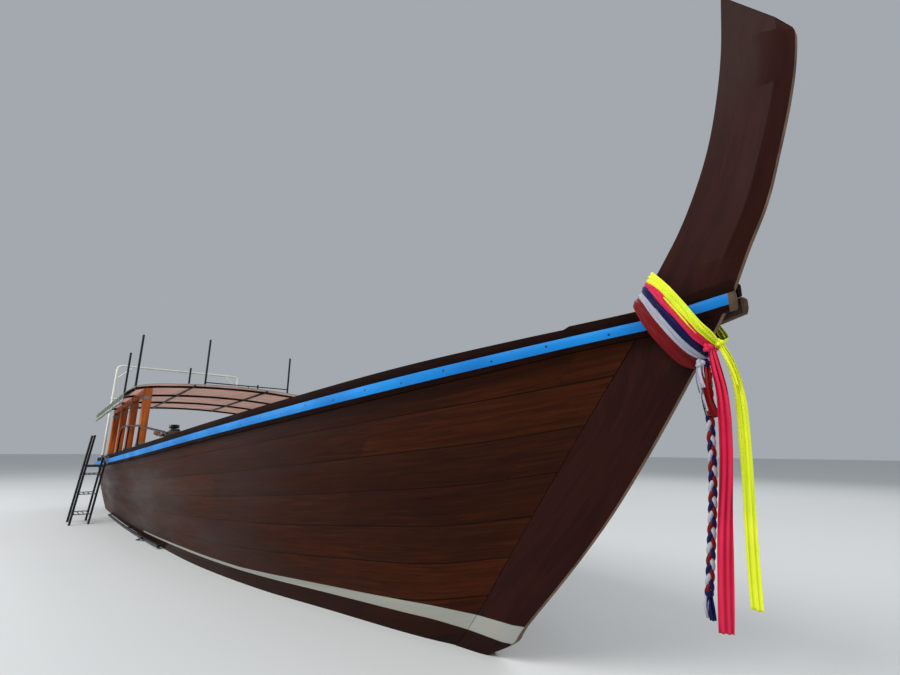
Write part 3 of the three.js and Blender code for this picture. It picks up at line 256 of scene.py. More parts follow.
def curve_through(points):
    """Curve through points: between each two, the cubic whose end slopes come from the square roots of
    the distances to the points around them."""
    given = np.asarray(points, float)
    ends = np.vstack([2 * given[0] - given[1], given, 2 * given[-1] - given[-2]])

    def at(share):
        """Points of the curve: share runs from 0 at the first of the points to 1 at the last."""
        place = np.clip(np.asarray(share, float), 0, 1) * (len(given) - 1)
        k = np.minimum(place.astype(int), len(given) - 2)
        t = (place - k)[:, None]
        p = [ends[k + i] for i in range(4)]
        d = [np.sqrt(np.linalg.norm(p[i + 1] - p[i], axis=1, keepdims=True)) for i in range(3)]
        d = [np.maximum(x, 1e-4) for x in d]
        a = ((p[1] - p[0]) / d[0] - (p[2] - p[0]) / (d[0] + d[1]) + (p[2] - p[1]) / d[1]) * d[1]
        b = ((p[2] - p[1]) / d[1] - (p[3] - p[1]) / (d[1] + d[2]) + (p[3] - p[2]) / d[2]) * d[1]
        square = -3 * p[1] + 3 * p[2] - 2 * a - b
        return p[1] + a * t + square * t ** 2 + (2 * p[1] - 2 * p[2] + a + b) * t ** 3

    return at


def curve(points, count):
    """A number of points along the curve through points."""
    return curve_through(points)(np.linspace(0, 1, count))


def coordinates(mesh, name, flat):
    """Writes two coordinates per point into a mesh, where a finish reads them by their name."""
    corner = np.empty(len(mesh.loops), int)
    mesh.loops.foreach_get("vertex_index", corner)
    mesh.uv_layers.new(name=name).data.foreach_set("uv", flat[corner].astype(np.float32).ravel())


def piece(name, given, body, nodes, finishes, crease=None):
    """Puts a shape into a mesh object at the origin, which rides on a body and stands for CAD nodes."""
    points, faces, marks, flat = given
    mesh = bpy.data.meshes.new(name)
    mesh.from_pydata(points.tolist(), [], [row.tolist() for f in faces for row in f])
    coordinates(mesh, "flat", flat)
    mesh.polygons.foreach_set("material_index", np.concatenate(marks).astype(np.int32))
    mesh.shade_smooth()
    for material in finishes:
        mesh.materials.append(material)
    if crease is not None:
        mesh.set_sharp_from_angle(angle=math.radians(crease))
    obj = bpy.data.objects.new(name, mesh)
    bpy.context.scene.collection.objects.link(obj)
    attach(obj, body)
    if nodes:
        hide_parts(*nodes)
    return obj


# Finishes

def colour(code):
    """Screen colour written #rrggbb as the linear light values that the shader takes."""
    parts = np.array([int(code[k:k + 2], 16) for k in (1, 3, 5)]) / 255
    linear = np.where(parts <= 0.04045, parts / 12.92, ((parts + 0.055) / 1.055) ** 2.4)
    return (*linear.tolist(), 1.0)


def add(tree, kind, sockets, output=0, to=None, stops=(), **settings):
    """Adds a node of a kind with its settings. A socket takes another node's output, a screen colour or
    a plain value, and a ramp takes its stops as (place, screen colour). It gives back one of the node's
    outputs, and links it to a socket of the shader where one is named."""
    node = tree.nodes.new("ShaderNode" + kind)
    for name, value in settings.items():
        setattr(node, name, value)
    for key, value in sockets.items():
        if isinstance(value, bpy.types.NodeSocket):
            tree.links.new(value, node.inputs[key])
        else:
            node.inputs[key].default_value = colour(value) if isinstance(value, str) else value
    for _ in stops[2:]:
        node.color_ramp.elements.new(0.5)
    for element, (place, code) in zip(node.color_ramp.elements if stops else (), stops):
        element.position = place
        element.color = colour(code)
    if to is not None:
        tree.links.new(node.outputs[output], to)
    return node.outputs[output]


def finish(name, **values):
    """A new material, the sockets of its shader with the values that are the same all over, and what
    adds nodes to it. In those, Map Range takes a value, the range it is in and the range it goes to, and
    a colour mix takes its share at 0 and its colours at 6 and 7, and gives a colour at 2."""
    material = bpy.data.materials.new(name)
    material.use_nodes = True
    shader = material.node_tree.nodes["Principled BSDF"].inputs
    for key, value in values.items():
        shader[key.replace("_", " ")].default_value = value
    return material, shader, partial(add, material.node_tree)


def plank_timber(name, dark, middle, light, rough, coat, board_long=3.4, strakes=True, paint=None):
    """Hardwood planks under varnish. Long grain streaks, some knots, a tone of its own for each plank,
    dark seams, and a coat that shines in patches. The flat coordinates are metres along and planks up."""
    material, shader, node = finish(name, Coat_Roughness=0.22, Specular_IOR_Level=0.05)
    flat = node("UVMap", {}, uv_map="flat")
    tone = node("TexBrick", {"Vector": flat, "Scale": 1.0, "Mortar Size": 0.0015, "Mortar Smooth": 0.0,
                             "Bias": 0.0, "Brick Width": board_long, "Row Height": 1.0, "Color1": "#000000",
                             "Color2": "#ffffff", "Mortar": "#000000"}, offset=0.37)
    # Grain 4 to 12 mm wide and some 300 mm long, drawn as coarse as it shows from a few metres
    stretched = node("Mapping", {"Vector": flat, "Scale": (2.2, 11.0, 1.0)})
    shifted = node("VectorMath", {0: stretched, 1: tone}, operation="ADD")
    grain = node("TexNoise", {"Vector": shifted, "Scale": 1.0, "Detail": 6.0, "Roughness": 0.62,
                              "Distortion": 0.7})
    # Pores 2 mm wide and 150 mm long, and clouds and knots some 1 to 2 m apart
    fine = node("Mapping", {"Vector": flat, "Scale": (7.0, 75.0, 1.0)})
    lines = node("TexNoise", {"Vector": fine, "Scale": 1.0, "Detail": 3.0, "Roughness": 0.5})
    wide = node("Mapping", {"Vector": flat, "Scale": (0.55, 0.5, 1.0)})
    patches = node("TexNoise", {"Vector": wide, "Scale": 1.0, "Detail": 3.0})
    knotted = node("Mapping", {"Vector": flat, "Scale": (1.15, 0.8, 1.0)})
    knots = node("TexVoronoi", {"Vector": knotted, "Scale": 1.0, "Randomness": 1.0})
    mixed = 0.0
    for part, share in ((grain, 0.55), (lines, 0.2), (patches, 0.3)):
        mixed = node("Math", {0: part, 1: share, 2: mixed}, operation="MULTIPLY_ADD")
    toned = node("MapRange", {0: tone, 1: 0.0, 2: 1.0, 3: -0.06, 4: 0.06})
    mixed = node("Math", {0: mixed, 1: toned}, operation="ADD")
    wood = node("ValToRGB", {0: mixed}, stops=[(0.32, dark), (0.52, middle), (0.76, light)])
    knot = node("MapRange", {0: knots, 1: 0.02, 2: 0.06, 3: 0.7, 4: 0.0})
    wood = node("Mix", {0: knot, 6: wood, 7: "#120704"}, 2, data_type="RGBA")
    shine = node("MapRange", {0: patches, 1: 0.35, 2: 0.65, 3: coat, 4: coat * 0.4})
    if strakes:
        up = node("SeparateXYZ", {0: flat}, "Y")
        part = node("Math", {0: up}, operation="FRACT")
        away = node("Math", {0: part, 1: 0.5}, operation="SUBTRACT")
        away = node("Math", {0: away}, operation="ABSOLUTE")
        # The seam's width comes and goes with the stopping left in it
        away = node("Math", {0: patches, 1: 0.022, 2: away}, operation="MULTIPLY_ADD")
        matt = node("MapRange", {0: away, 1: 0.492, 2: 0.501, 3: 1.0, 4: 0.0})
        seam = node("MapRange", {0: matt, 1: 0.0, 2: 1.0, 3: 0.85, 4: 0.0})
        wood = node("Mix", {0: seam, 6: wood, 7: "#080302"}, 2, data_type="RGBA")
        shine = node("Math", {0: shine, 1: matt}, operation="MULTIPLY")
    if paint:
        at = node("UVMap", {}, uv_map="stripe")
        across = node("SeparateXYZ", {0: at}, "Y")
        ragged = node("Math", {0: lines, 1: 0.06, 2: across}, operation="MULTIPLY_ADD")
        inside = node("Math", {0: ragged}, operation="ABSOLUTE")
        band = node("MapRange", {0: inside, 1: 1.0, 2: 1.06, 3: 1.0, 4: 0.0})
        # It starts 0.6 m aft of the middle
        begun = node("MapRange", {0: across.node.outputs["X"], 1: -0.61, 2: -0.59})
        band = node("Math", {0: band, 1: begun}, operation="MULTIPLY")
        grimy = node("MapRange", {0: grain, 1: 0.45, 2: 0.8})
        dirt = node("Mix", {0: grimy, 6: paint, 7: "#a39b84"}, 2, data_type="RGBA")
        wood = node("Mix", {0: band, 6: wood, 7: dirt}, 2, data_type="RGBA")
        # Below the stripe the timber is darker and stained by the water
        wet = node("MapRange", {0: across, 1: -1.0, 2: -1.1, 3: 0.0, 4: 0.6})
        wood = node("Mix", {0: wet, 6: wood, 7: "#1d0d08"}, 2, data_type="RGBA")
    material.node_tree.links.new(wood, shader["Base Color"])
    material.node_tree.links.new(shine, shader["Coat Weight"])
    node("MapRange", {0: patches, 1: 0.3, 2: 0.75, 3: rough - 0.08, 4: rough + 0.2}, to=shader["Roughness"])
    node("Bump", {"Strength": 0.4, "Distance": 0.0012, "Height": mixed}, to=shader["Normal"])
    return material


def grained_timber(name, dark, light, rough=0.5, coat=0.0, along=(1.0, 12.0, 12.0), worn="#8a7766",
                   wear=0.3, boards=None, specular=0.16):
    """Sawn and planed timber on the object's own coordinates. Streaks along X or Y, greyed where feet
    and weather have taken the finish off. Laid boards have a tone each and a dark gap between."""
    material, shader, node = finish(name, Coat_Weight=coat, Coat_Roughness=0.2, Specular_IOR_Level=specular)
    at = node("TexCoord", {}, "Object")
    # Streaks 30 mm wide and 380 mm long, the width of the growth rings in sawn boards
    stretched = node("Mapping", {"Vector": at, "Scale": along})
    grain = node("TexNoise", {"Vector": stretched, "Scale": 2.6, "Detail": 6.0, "Roughness": 0.6,
                              "Distortion": 0.5})
    broad = node("TexNoise", {"Vector": at, "Scale": 2.3, "Detail": 3.0})
    wood = node("ValToRGB", {0: grain}, stops=[(0.3, dark), (0.68, light)])
    dull = node("MapRange", {0: broad, 1: 0.45, 2: 0.75, 3: 0.0, 4: wear})
    wood = node("Mix", {0: dull, 6: wood, 7: worn}, 2, data_type="RGBA")
    if boards:
        sideways = along[0] > 1
        turned = node("Mapping", {"Vector": at, "Rotation": (0, 0, math.pi / 2 if sideways else 0),
                                  "Location": (3.0, 0.0, 0.0)})
        laid = node("TexBrick", {
            "Vector": turned, "Scale": 1.0, "Mortar Size": 0.0025, "Mortar Smooth": 0.1, "Bias": 0.0,
            "Brick Width": 8.0 if sideways else 2.6, "Row Height": boards, "Color1": "#000000",
            "Color2": "#ffffff", "Mortar": "#000000"}, offset=0.0 if sideways else 0.43)
        tone = node("MapRange", {0: laid, 3: 0.0, 4: 0.4})
        wood = node("Mix", {0: tone, 6: wood, 7: dark}, 2, data_type="RGBA")
        wood = node("Mix", {0: laid.node.outputs["Fac"], 6: wood, 7: "#150d08"}, 2, data_type="RGBA")
    material.node_tree.links.new(wood, shader["Base Color"])
    node("MapRange", {0: broad, 1: 0.3, 2: 0.7, 3: rough - 0.08, 4: rough + 0.15}, to=shader["Roughness"])
    node("Bump", {"Strength": 0.5, "Distance": 0.0015, "Height": grain}, to=shader["Normal"])
    return material


def gloss_paint(name, main, shade, bare, chips=0.62, rough=0.28, metal=0.0, coat=0.2, scale=6.0):
    """Brushed enamel paint. Faint brush lines and cloudy fading, and small chips that show what is
    under it."""
    material, shader, node = finish(name, Metallic=metal, Coat_Weight=coat, Coat_Roughness=0.15,
                                    Specular_IOR_Level=0.12)
    at = node("TexCoord", {}, "Object")
    cloudy = node("TexNoise", {"Vector": at, "Scale": scale * 0.4, "Detail": 4.0})
    # Brush lines 12 mm apart where bristles leave 1 mm ones, so that they show
    brushed = node("Mapping", {"Vector": at, "Scale": (1.0, 14.0, 14.0)})
    brush = node("TexNoise", {"Vector": brushed, "Scale": scale, "Detail": 5.0, "Roughness": 0.6})
    chipped = node("TexNoise", {"Vector": at, "Scale": scale * 7, "Detail": 7.0, "Roughness": 0.7})
    faded = node("MapRange", {0: cloudy, 1: 0.35, 2: 0.7})
    base = node("Mix", {0: faded, 6: main, 7: shade}, 2, data_type="RGBA")
    chip = node("MapRange", {0: chipped, 1: chips, 2: chips + 0.025})
    node("Mix", {0: chip, 6: base, 7: bare}, 2, shader["Base Color"], data_type="RGBA")
    node("MapRange", {0: cloudy, 1: 0.3, 2: 0.7, 3: rough - 0.06, 4: rough + 0.16}, to=shader["Roughness"])
    node("Bump", {"Strength": 0.4, "Distance": 0.0005, "Height": brush}, to=shader["Normal"])
    return material


def woven_cloth(name, main, shade, spread, rough=0.75, sheen=0.1, dirt=None, through=0.0):
    """Woven cloth on its own flat coordinates, with threads a spread apart, coarser than the real ones
    so that they show. Cloudy sun fading, and for satin a soft sheen; a coated sheet keeps dirt along its
    folds, and its colour glows by emission, painted light for the daylight that comes through it."""
    material, shader, node = finish(name, Sheen_Weight=sheen, Sheen_Roughness=0.4, Specular_IOR_Level=0.16,
                                    Emission_Strength=through)
    flat = node("UVMap", {}, uv_map="flat")
    across, along = (node("TexWave", {"Vector": flat, "Scale": 0.16 / spread, "Distortion": 0.6}, "Fac",
                          bands_direction=way) for way in "XY")
    weave = node("Math", {0: across, 1: along}, operation="MULTIPLY")
    cloudy = node("TexNoise", {"Vector": flat, "Scale": 3.0, "Detail": 4.0})
    faded = node("MapRange", {0: cloudy, 1: 0.35, 2: 0.7})
    base = node("Mix", {0: faded, 6: main, 7: shade}, 2, data_type="RGBA")
    thread = node("MapRange", {0: weave, 3: 0.0, 4: 0.16})
    base = node("Mix", {0: thread, 6: base, 7: shade}, 2, data_type="RGBA")
    if dirt:
        stain = node("TexNoise", {"Vector": flat, "Scale": 1.3, "Detail": 6.0, "Roughness": 0.65})
        stained = node("MapRange", {0: stain, 1: 0.5, 2: 0.75, 3: 0.0, 4: 0.7})
        base = node("Mix", {0: stained, 6: base, 7: dirt}, 2, data_type="RGBA")
    material.node_tree.links.new(base, shader["Base Color"])
    # Painted light: the cloth's own colour glows by emission, standing for daylight through the sheet
    if through:
        material.node_tree.links.new(base, shader["Emission Color"])
    node("MapRange", {0: cloudy, 1: 0.3, 2: 0.7, 3: rough - 0.08, 4: rough + 0.08}, to=shader["Roughness"])
    node("Bump", {"Strength": 0.5, "Distance": spread * 0.12, "Height": weave}, to=shader["Normal"])
    return material


def metal(name, main, stain, rough, spots=0.55, scale=14.0, metallic=0.9):
    """Bare metal that has stood in salt air. Cloudy stains and pits over the metal's own shine."""
    material, shader, node = finish(name)
    at = node("TexCoord", {}, "Object")
    cloudy = node("TexNoise", {"Vector": at, "Scale": scale, "Detail": 7.0, "Roughness": 0.65})
    # Pits 3 to 8 mm wide, several times their real size
    pits = node("TexNoise", {"Vector": at, "Scale": scale * 9, "Detail": 3.0})
    share = node("MapRange", {0: cloudy, 1: spots - 0.12, 2: spots + 0.12})
    node("Mix", {0: share, 6: main, 7: stain}, 2, shader["Base Color"], data_type="RGBA")
    node("MapRange", {0: share, 3: rough, 4: min(0.95, rough + 0.4)}, to=shader["Roughness"])
    node("MapRange", {0: share, 3: metallic, 4: metallic * 0.4}, to=shader["Metallic"])
    node("Bump", {"Strength": 0.6, "Distance": 0.0003, "Height": pits}, to=shader["Normal"])
    return material


def moulded(name, main, shade, rough):
    """Moulded rubber or plastic. Skin with pebbles of 2 mm, dusty in the hollows."""
    material, shader, node = finish(name, IOR=1.5)
    at = node("TexCoord", {}, "Object")
    cloudy = node("TexNoise", {"Vector": at, "Scale": 9.0, "Detail": 5.0})
    pebbles = node("TexVoronoi", {"Vector": at, "Scale": 500.0})
    dusty = node("MapRange", {0: cloudy, 1: 0.35, 2: 0.7})
    node("Mix", {0: dusty, 6: main, 7: shade}, 2, shader["Base Color"], data_type="RGBA")
    node("MapRange", {0: cloudy, 1: 0.3, 2: 0.7, 3: rough - 0.08, 4: rough + 0.15}, to=shader["Roughness"])
    node("Bump", {"Strength": 0.4, "Distance": 0.0002, "Height": pebbles}, to=shader["Normal"])
    return material


# Sawn hardwood planks, brushed with dark varnish: deep brown streaks with a gloss that has gone in patches
side_varnish = plank_timber("varnished_planks", "#1a0702", "#2d1003", "#4a1e06", 0.42, 0.03, paint="#95968f")
# The same planks under brown bottom paint: flat and nearly black, the grain only just seen
bottom_paint = plank_timber("bottom_paint_on_planks", "#140a06", "#1f100a", "#2b1810", 0.6, 0.0)
# One thick hardwood timber, adzed and varnished: no seams, and a redder brown than the planks
stem_varnish = plank_timber("varnished_stem_timber", "#1e0b08", "#2b110c", "#3a1911", 0.5, 0.03, 40.0,
                            False, "#9a9b96")
# Hardwood rubbed bare by ropes and sand: pale, dry and without a direction to its grain. On the prow's
# narrow front the pale strip is also a painted highlight of the lit edge
edge_wear_and_highlight = grained_timber("bare_edge_wear_and_painted_highlight", "#3f281b", "#7c5d45", along=(3.0, 3.0, 3.0))
# Planed hardwood rail under old dark varnish: almost black, with brown where hands rub it. On the blue
# rail's planed lower edge it is painted shade
cap_timber = grained_timber("dark_varnished_rail", "#100503", "#1e0c07", rough=0.6, worn="#2c150e", wear=0.2,
                            specular=0.03)
# Sawn keel timber under bottom paint: flat dark brown, scraped paler along its edges
bottom_timber = grained_timber("painted_keel_timber", "#160b07", "#301a11", rough=0.55, worn="#3b2c20")
# Wide planed boards across the stern, varnished: red-brown, streaks across, some shine
transom_varnish = grained_timber("varnished_transom", "#2c1208", "#5c2711", rough=0.34, coat=0.3,
                                 along=(12.0, 1.0, 12.0), worn="#3a1d10", wear=0.2)
# Sawn frames rubbed with oil: warm mid brown and dull
inside_timber = grained_timber("oiled_frames", "#4d3322", "#7a573d", rough=0.6)
# Unfinished floorboards, walked on with wet and sandy feet: greyed and dull
deck_timber = grained_timber("worn_floorboards", "#4a3424", "#7d5f47", rough=0.62, wear=0.5)
# Boards 118 mm wide laid along the deck, oiled once: a tone each, black gaps, grey in the middle
laid_deck = grained_timber("laid_deck_boards", "#523a29", "#86674d", rough=0.6, wear=0.45, boards=0.118)
# Two planed boards of 142 mm across the boat, polished by sitting: warmer and smoother than the deck
thwart_timber = grained_timber("worn_thwart_boards", "#523a29", "#8a6a4f", rough=0.58, wear=0.4,
                               along=(12.0, 1.0, 12.0), boards=0.142)
# Squared light hardwood under orange varnish: glowing orange-brown with upright streaks and a clear shine
post_varnish = grained_timber("orange_varnished_posts", "#8a3a10", "#cf6a22", rough=0.34, coat=0.15,
                              along=(12.0, 12.0, 1.0), worn="#8d4a22", wear=0.25)
# Rubbed-down end of the blue rail: bare wood with old varnish in its pores
rail_end = grained_timber("bare_rail_end", "#1d100b", "#4a3224", rough=0.6, along=(8.0, 8.0, 8.0), wear=0.4)
# Boat enamel, brushed on: bright sky blue, with few chips that show the dark primer
rail_blue = gloss_paint("blue_gloss_paint", "#0b80cc", "#0769b2", "#23465c", chips=0.665, rough=0.45,
                        coat=0.03)
# The same enamel over nail heads, rust coming through: dark dots, partly painted shade of a sunk head
nail_paint_and_shade = gloss_paint("blue_paint_over_nails_and_painted_shade", "#123f66", "#0c2f50", "#3a2a24", coat=0.0)
# Steel pipe under black enamel: soft highlights and brown specks of rust
black_pipe = gloss_paint("black_painted_pipe", "#15171a", "#212429", "#5c3a26", chips=0.64, rough=0.36,
                         metal=0.2)
# Steel pipe under white enamel: yellowed a little, rust-brown specks
white_pipe = gloss_paint("white_painted_pipe", "#dcdad2", "#c4c1b6", "#7a4a30", chips=0.64, rough=0.36)
# Sprayed engine enamel over castings: dull grey-green with an oily film
engine_enamel = gloss_paint("engine_enamel", "#33493f", "#26372f", "#4f3b2a", chips=0.6, rough=0.45,
                            metal=0.15, scale=16.0)
# Polyester sheet, woven and coated: grey, matt, with dirt where rain dries on it
cover_top = woven_cloth("coated_sheet_top", "#898779", "#7a786b", 0.006, dirt="#67634f")
# Its underside, warm pink-grey: painted light, brighter than what is lit from below and glowing by emission
# for the day shining through
cover_underside_glow = woven_cloth("coated_sheet_underside_painted_glow", "#e2bdb0", "#d2a597", 0.006, dirt="#b08779",
                          through=0.38)
# The flap's heavier weave, grey-green and stained
valance_cloth = woven_cloth("grey_green_valance", "#5b6350", "#484e40", 0.006, dirt="#33362b")
# Polyester webbing, woven flat: pale grey and matt
pale_cloth = woven_cloth("pale_webbing", "#9a9f9b", "#7d837f", 0.004)
# Turned and welded mild steel, uncoated: grey shine broken up by brown rust stains
bare_steel = metal("bare_steel", "#8b8e90", "#5b4636", 0.32)
# Sand-cast aluminium: pale grey, matt and pitted, oily brown in the corners
cast_metal = metal("cast_aluminium", "#84857f", "#4b4339", 0.5, scale=30.0)
# Thin rolled steel that has been hot: browned all over, with flat rust
hot_steel = metal("heat_browned_steel", "#5d4a3d", "#7a4423", 0.6, spots=0.48, metallic=0.7)
# Cast and ground bronze: gold-brown shine with green-brown salt stains
bronze = metal("cast_bronze", "#a67c43", "#4f5a41", 0.3, scale=26.0)
# Moulded black rubber and plastic: dull black, greyed by dust
rubber = moulded("black_rubber", "#16171a", "#26272a", 0.6)
# Blow-moulded polyethylene: waxy red with a wide soft highlight
red_plastic = moulded("red_moulded_plastic", "#a3231a", "#87201a", 0.42)
# Thin polyester satin, woven and dyed: strong colours with a low sheen along the folds
cloths = {
    name: woven_cloth(name + "_satin", main, shade, 0.003, rough=0.5, sheen=0.04)
    for name, main, shade in (
        ("yellow", "#ecf03c", "#c6dc28"),
        ("pink", "#da2a50", "#b81a3e"),
        ("navy", "#080a4e", "#05062e"),
        ("white", "#b2b3be", "#8b8c99"),
        ("red", "#7c0307", "#500408"),
    )
}


# Braid of three strands that hangs from the ribbons, on the CAD route

BRAID_ROUTE = [(5.915, -0.046, 1.4156), (5.903, -0.044, 1.3), (5.880, -0.038, 1.0),
               (5.840, -0.034, 0.72), (5.800, -0.030, 0.48)]
BRAID_WIDE = 0.034
braid_line = curve(BRAID_ROUTE, 300)
# The strands end at the knot, 85 mm before the route does
braid_line = braid_line[lengths(braid_line) < lengths(braid_line)[-1] - 0.085]


def braid():
    """Each strand runs a flat figure of eight round the middle line: across by the sine of its turn and
    out by the sine of twice the turn, a third of a turn behind the one before."""
    heading = unit(np.gradient(braid_line, axis=0))
    across = unit(np.cross(heading, [0.45, -1.0, 0.1]))
    out = np.cross(across, heading)
    run = lengths(braid_line)
    radius, turn_long = 0.0088, 0.118
    # It opens to its full width over the first 78 mm
    swing = (BRAID_WIDE / 2 - radius) * np.minimum(1, 0.35 + run / 0.12)
    for k in range(3):
        turn = 2 * np.pi * run / turn_long + k * 2 * np.pi / 3
        path = braid_line + across * (swing * np.sin(turn))[:, None]
        path = path + out * (0.6 * swing * np.sin(2 * turn))[:, None]
        yield tube(path, radius, 10, finish=k)


BRAID_CLOTHS = [cloths["red"], cloths["white"], cloths["navy"]]
braid_cord = piece("ribbon_braid", together(braid()), "hull", ["braid"], BRAID_CLOTHS)
RIBBON_THICK = 0.0012


def ribbon(path, wide, facing, pleats, deep, count, finish, twist=0.0):
    """A strip of cloth with lengthwise pleats: across it a cosine wave of a depth, whose place drifts
    along the strip, closed to a thin shell."""
    path = np.asarray(path, float)
    heading = unit(np.gradient(path, axis=0))
    run = lengths(path)
    facing = np.broadcast_to(np.asarray(facing, float), path.shape)
    across = unit(np.cross(heading, facing))
    out = unit(np.cross(across, heading))
    turn = (twist * run / run[-1])[:, None]
    across, out = across * np.cos(turn) + out * np.sin(turn), out * np.cos(turn) - across * np.sin(turn)
    c = np.linspace(-0.5, 0.5, count)[None, :, None]
    wide = np.broadcast_to(wide, len(path))[:, None, None]
    deep = np.broadcast_to(deep, len(path))[:, None, None]
    drift = (np.sin(run * 5.1) * 0.35 + run * 0.4)[:, None, None]
    wave = deep * np.cos(2 * np.pi * (pleats * (c + 0.5) + drift))
    face = path[:, None] + across[:, None] * c * wide + out[:, None] * wave
    bend = 0.3 * deep * np.sin(2 * np.pi * (pleats * (c + 0.5) * 2 + drift))
    face = face + across[:, None] * bend
    # Laid flat, the pleated cloth is 1.8 times as wide
    flat = pairs((c * wide)[..., 0] * 1.8, run[:, None])
    half = out[:, None] * RIBBON_THICK / 2
    return skin(face + half, face - half, finish, flat)


tie = turned(braid_line[-1] + [0.001, 0, 0.012], braid_line[-1] + [-0.002, 0, -0.02],
             [[0, 0.011], [0.004, 0.0155], [0.012, 0.0165], [0.02, 0.0155], [0.026, 0.011]], 14, 2)
end = braid_line[-1]
tails = [
    ribbon([end, end + [0.002, 0.0, -0.05], end + [0.004, 0.002, -0.098]], [0.02, 0.026, 0.024],
           (0.4, -1, 0), 1.5, 0.004, 14, 2),
    ribbon([end + [-0.006, -0.003, 0], end + [-0.016, -0.004, -0.045], end + [-0.014, 0.0, -0.092]],
           [0.014, 0.018, 0.012], (0.4, -1, 0), 1.5, 0.003, 14, 1),
]
braid_end = piece("braid_end", together([tie, *tails]), "hull", (), BRAID_CLOTHS)
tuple(BRAID_ROUTE[0])
float(lengths(braid_line)[-1])


# Hull surface

HULL_SECTIONS = np.array([
    # keel x z, chine x y z, sheer x y z
    [-4.300, -0.215, -4.331, 0.850, -0.120, -4.640, 1.085, 0.835],
    [-3.000, -0.255, -3.000, 0.845, -0.150, -3.000, 1.125, 0.895],
    [-1.500, -0.270, -1.500, 0.825, -0.160, -1.500, 1.120, 0.982],
    [0.000, -0.275, 0.000, 0.780, -0.165, 0.150, 1.052, 1.100],
    [1.300, -0.270, 1.320, 0.700, -0.158, 1.800, 0.910, 1.248],
    [2.400, -0.250, 2.450, 0.535, -0.140, 3.250, 0.722, 1.388],
    [3.200, -0.215, 3.300, 0.345, -0.100, 4.380, 0.500, 1.512],
    [3.900, -0.150, 4.000, 0.195, -0.045, 5.180, 0.278, 1.603],
    [4.300, -0.060, 4.480, 0.090, 0.072, 5.705, 0.112, 1.662],
])
# Half the keel's width where the planks meet it, and how thick they are
KEEL_EDGE = 0.0603
PLANK = 0.035
# The chine's turn begins at this share of the floor from it and ends at this share of the side
FLOOR_TURN, SIDE_TURN = 0.3, 0.16
# The share at which the planks end, a hair before the stem's own edge
PLANKS_END = 0.9994
keel_line = curve_through(np.c_[HULL_SECTIONS[:, 0], np.full(9, KEEL_EDGE), HULL_SECTIONS[:, 1]])
chine_line = curve_through(HULL_SECTIONS[:, 2:5])
sheer_line = curve_through(HULL_SECTIONS[:, 5:8])


def on_hull(share, step):
    """Port planking's outer face. Share runs from the transom to the stem, and step from the keel (0)
    over the floor (2), the rounded chine (2 to 5) and the side to the sheer (8): a straight, then a
    three-point curve, then a straight with a slight bulge."""
    keel, chine, sheer = (line(share)[:, None] for line in (keel_line, chine_line, sheer_line))
    s = np.asarray(step, float)[None, :, None]
    floor_end = chine + FLOOR_TURN * (keel - chine)
    side_start = chine + SIDE_TURN * (sheer - chine)
    t = (s - 2) / 3
    turn = floor_end * (1 - t) ** 2 + 2 * chine * t * (1 - t) + side_start * t ** 2
    up = SIDE_TURN + (1 - SIDE_TURN) * (s - 5) / 3
    # The bulge is 16 mm halfway up the side
    side = chine + up * (sheer - chine) + np.array([0, 1, 0]) * (0.0893 * (up - SIDE_TURN) * (1 - up))
    return np.where(s <= 2, keel + (floor_end - keel) * s / 2, np.where(s <= 5, turn, side))


def hull_face(share, step, inwards):
    """Points of the planking moved square to its face, by the cross product of its two slopes."""
    points = on_hull(share, step)
    du, ds = 0.004, 0.05
    ahead = on_hull(np.minimum(share + du, 1), step) - on_hull(np.maximum(share - du, 0), step)
    up = on_hull(share, np.minimum(step + ds, 8)) - on_hull(share, np.maximum(step - ds, 0))
    out = unit(np.cross(ahead, up))
    # Outwards is to port, or down where the floor is flat
    out = np.where(out[..., 1:2] - 0.2 * out[..., 2:] < 0, -out, out)
    made = points - out * np.broadcast_to(inwards, points.shape[:2])[..., None]
    made[:, step >= 8, 2] = points[:, step >= 8, 2]
    return made


# White stripe just above the water, by x, middle height and half its height
STRIPE = np.array([
    [-0.6, 0.080, 0.009],
    [1.1, 0.112, 0.010],
    [2.3, 0.120, 0.012],
    [3.04, 0.140, 0.021],
    [3.74, 0.155, 0.029],
    [4.28, 0.168, 0.038],
    [4.62, 0.160, 0.048],
    [4.86, 0.150, 0.052],
])


def with_stripe(obj, shell=True):
    """Adds the stripe's coordinates to a piece: metres along, and across it 0 in its middle, 1 and -1 at
    its edges. The inner half of a shell's points stays bare."""
    points = np.array([point.co for point in obj.data.vertices])
    x, z = points[:, 0], points[:, 2]
    across = (z - np.interp(x, STRIPE[:, 0], STRIPE[:, 1])) / np.interp(x, STRIPE[:, 0], STRIPE[:, 2])
    if shell:
        across[len(across) // 2:] = 9.0
    coordinates(obj.data, "stripe", pairs(x, across))
    return obj


# Depth of the V between two planks
GROOVE = 0.0014


def strakes(seams, slices, first=0):
    """Planking between seams, from the transom to the stem: each plank a little proud or shy of its
    neighbours, with a narrow V of a depth between two."""
    steps, cut, strake = [], [], []
    for k, (low, high) in enumerate(zip(seams[:-1], seams[1:])):
        narrow = 0.014 if low >= 5 else 0.035
        inner = np.linspace(low + narrow, high - narrow, 6 if high <= 5 else 4)
        proud = chance.uniform(-0.0008, 0.0008)
        steps += [low, *inner]
        cut += [GROOVE if k else 0.0, *np.full(len(inner), proud)]
        strake += [k, *(k + (inner - low) / (high - low))]
    steps, cut, strake = [np.array([*row, last]) for row, last in (
        (steps, seams[-1]), (cut, 0.0), (strake, len(seams) - 1.0))]
    share = np.linspace(0, PLANKS_END, slices)
    outer = hull_face(share, steps, cut[None])
    inner = hull_face(share, steps, PLANK)
    along = np.cumsum(np.linalg.norm(np.diff(outer[:, -1:], axis=0, prepend=outer[:1, -1:]), axis=2), 0)
    flat = pairs(along, strake[None] + first)
    return skin(outer, inner, 0, flat)


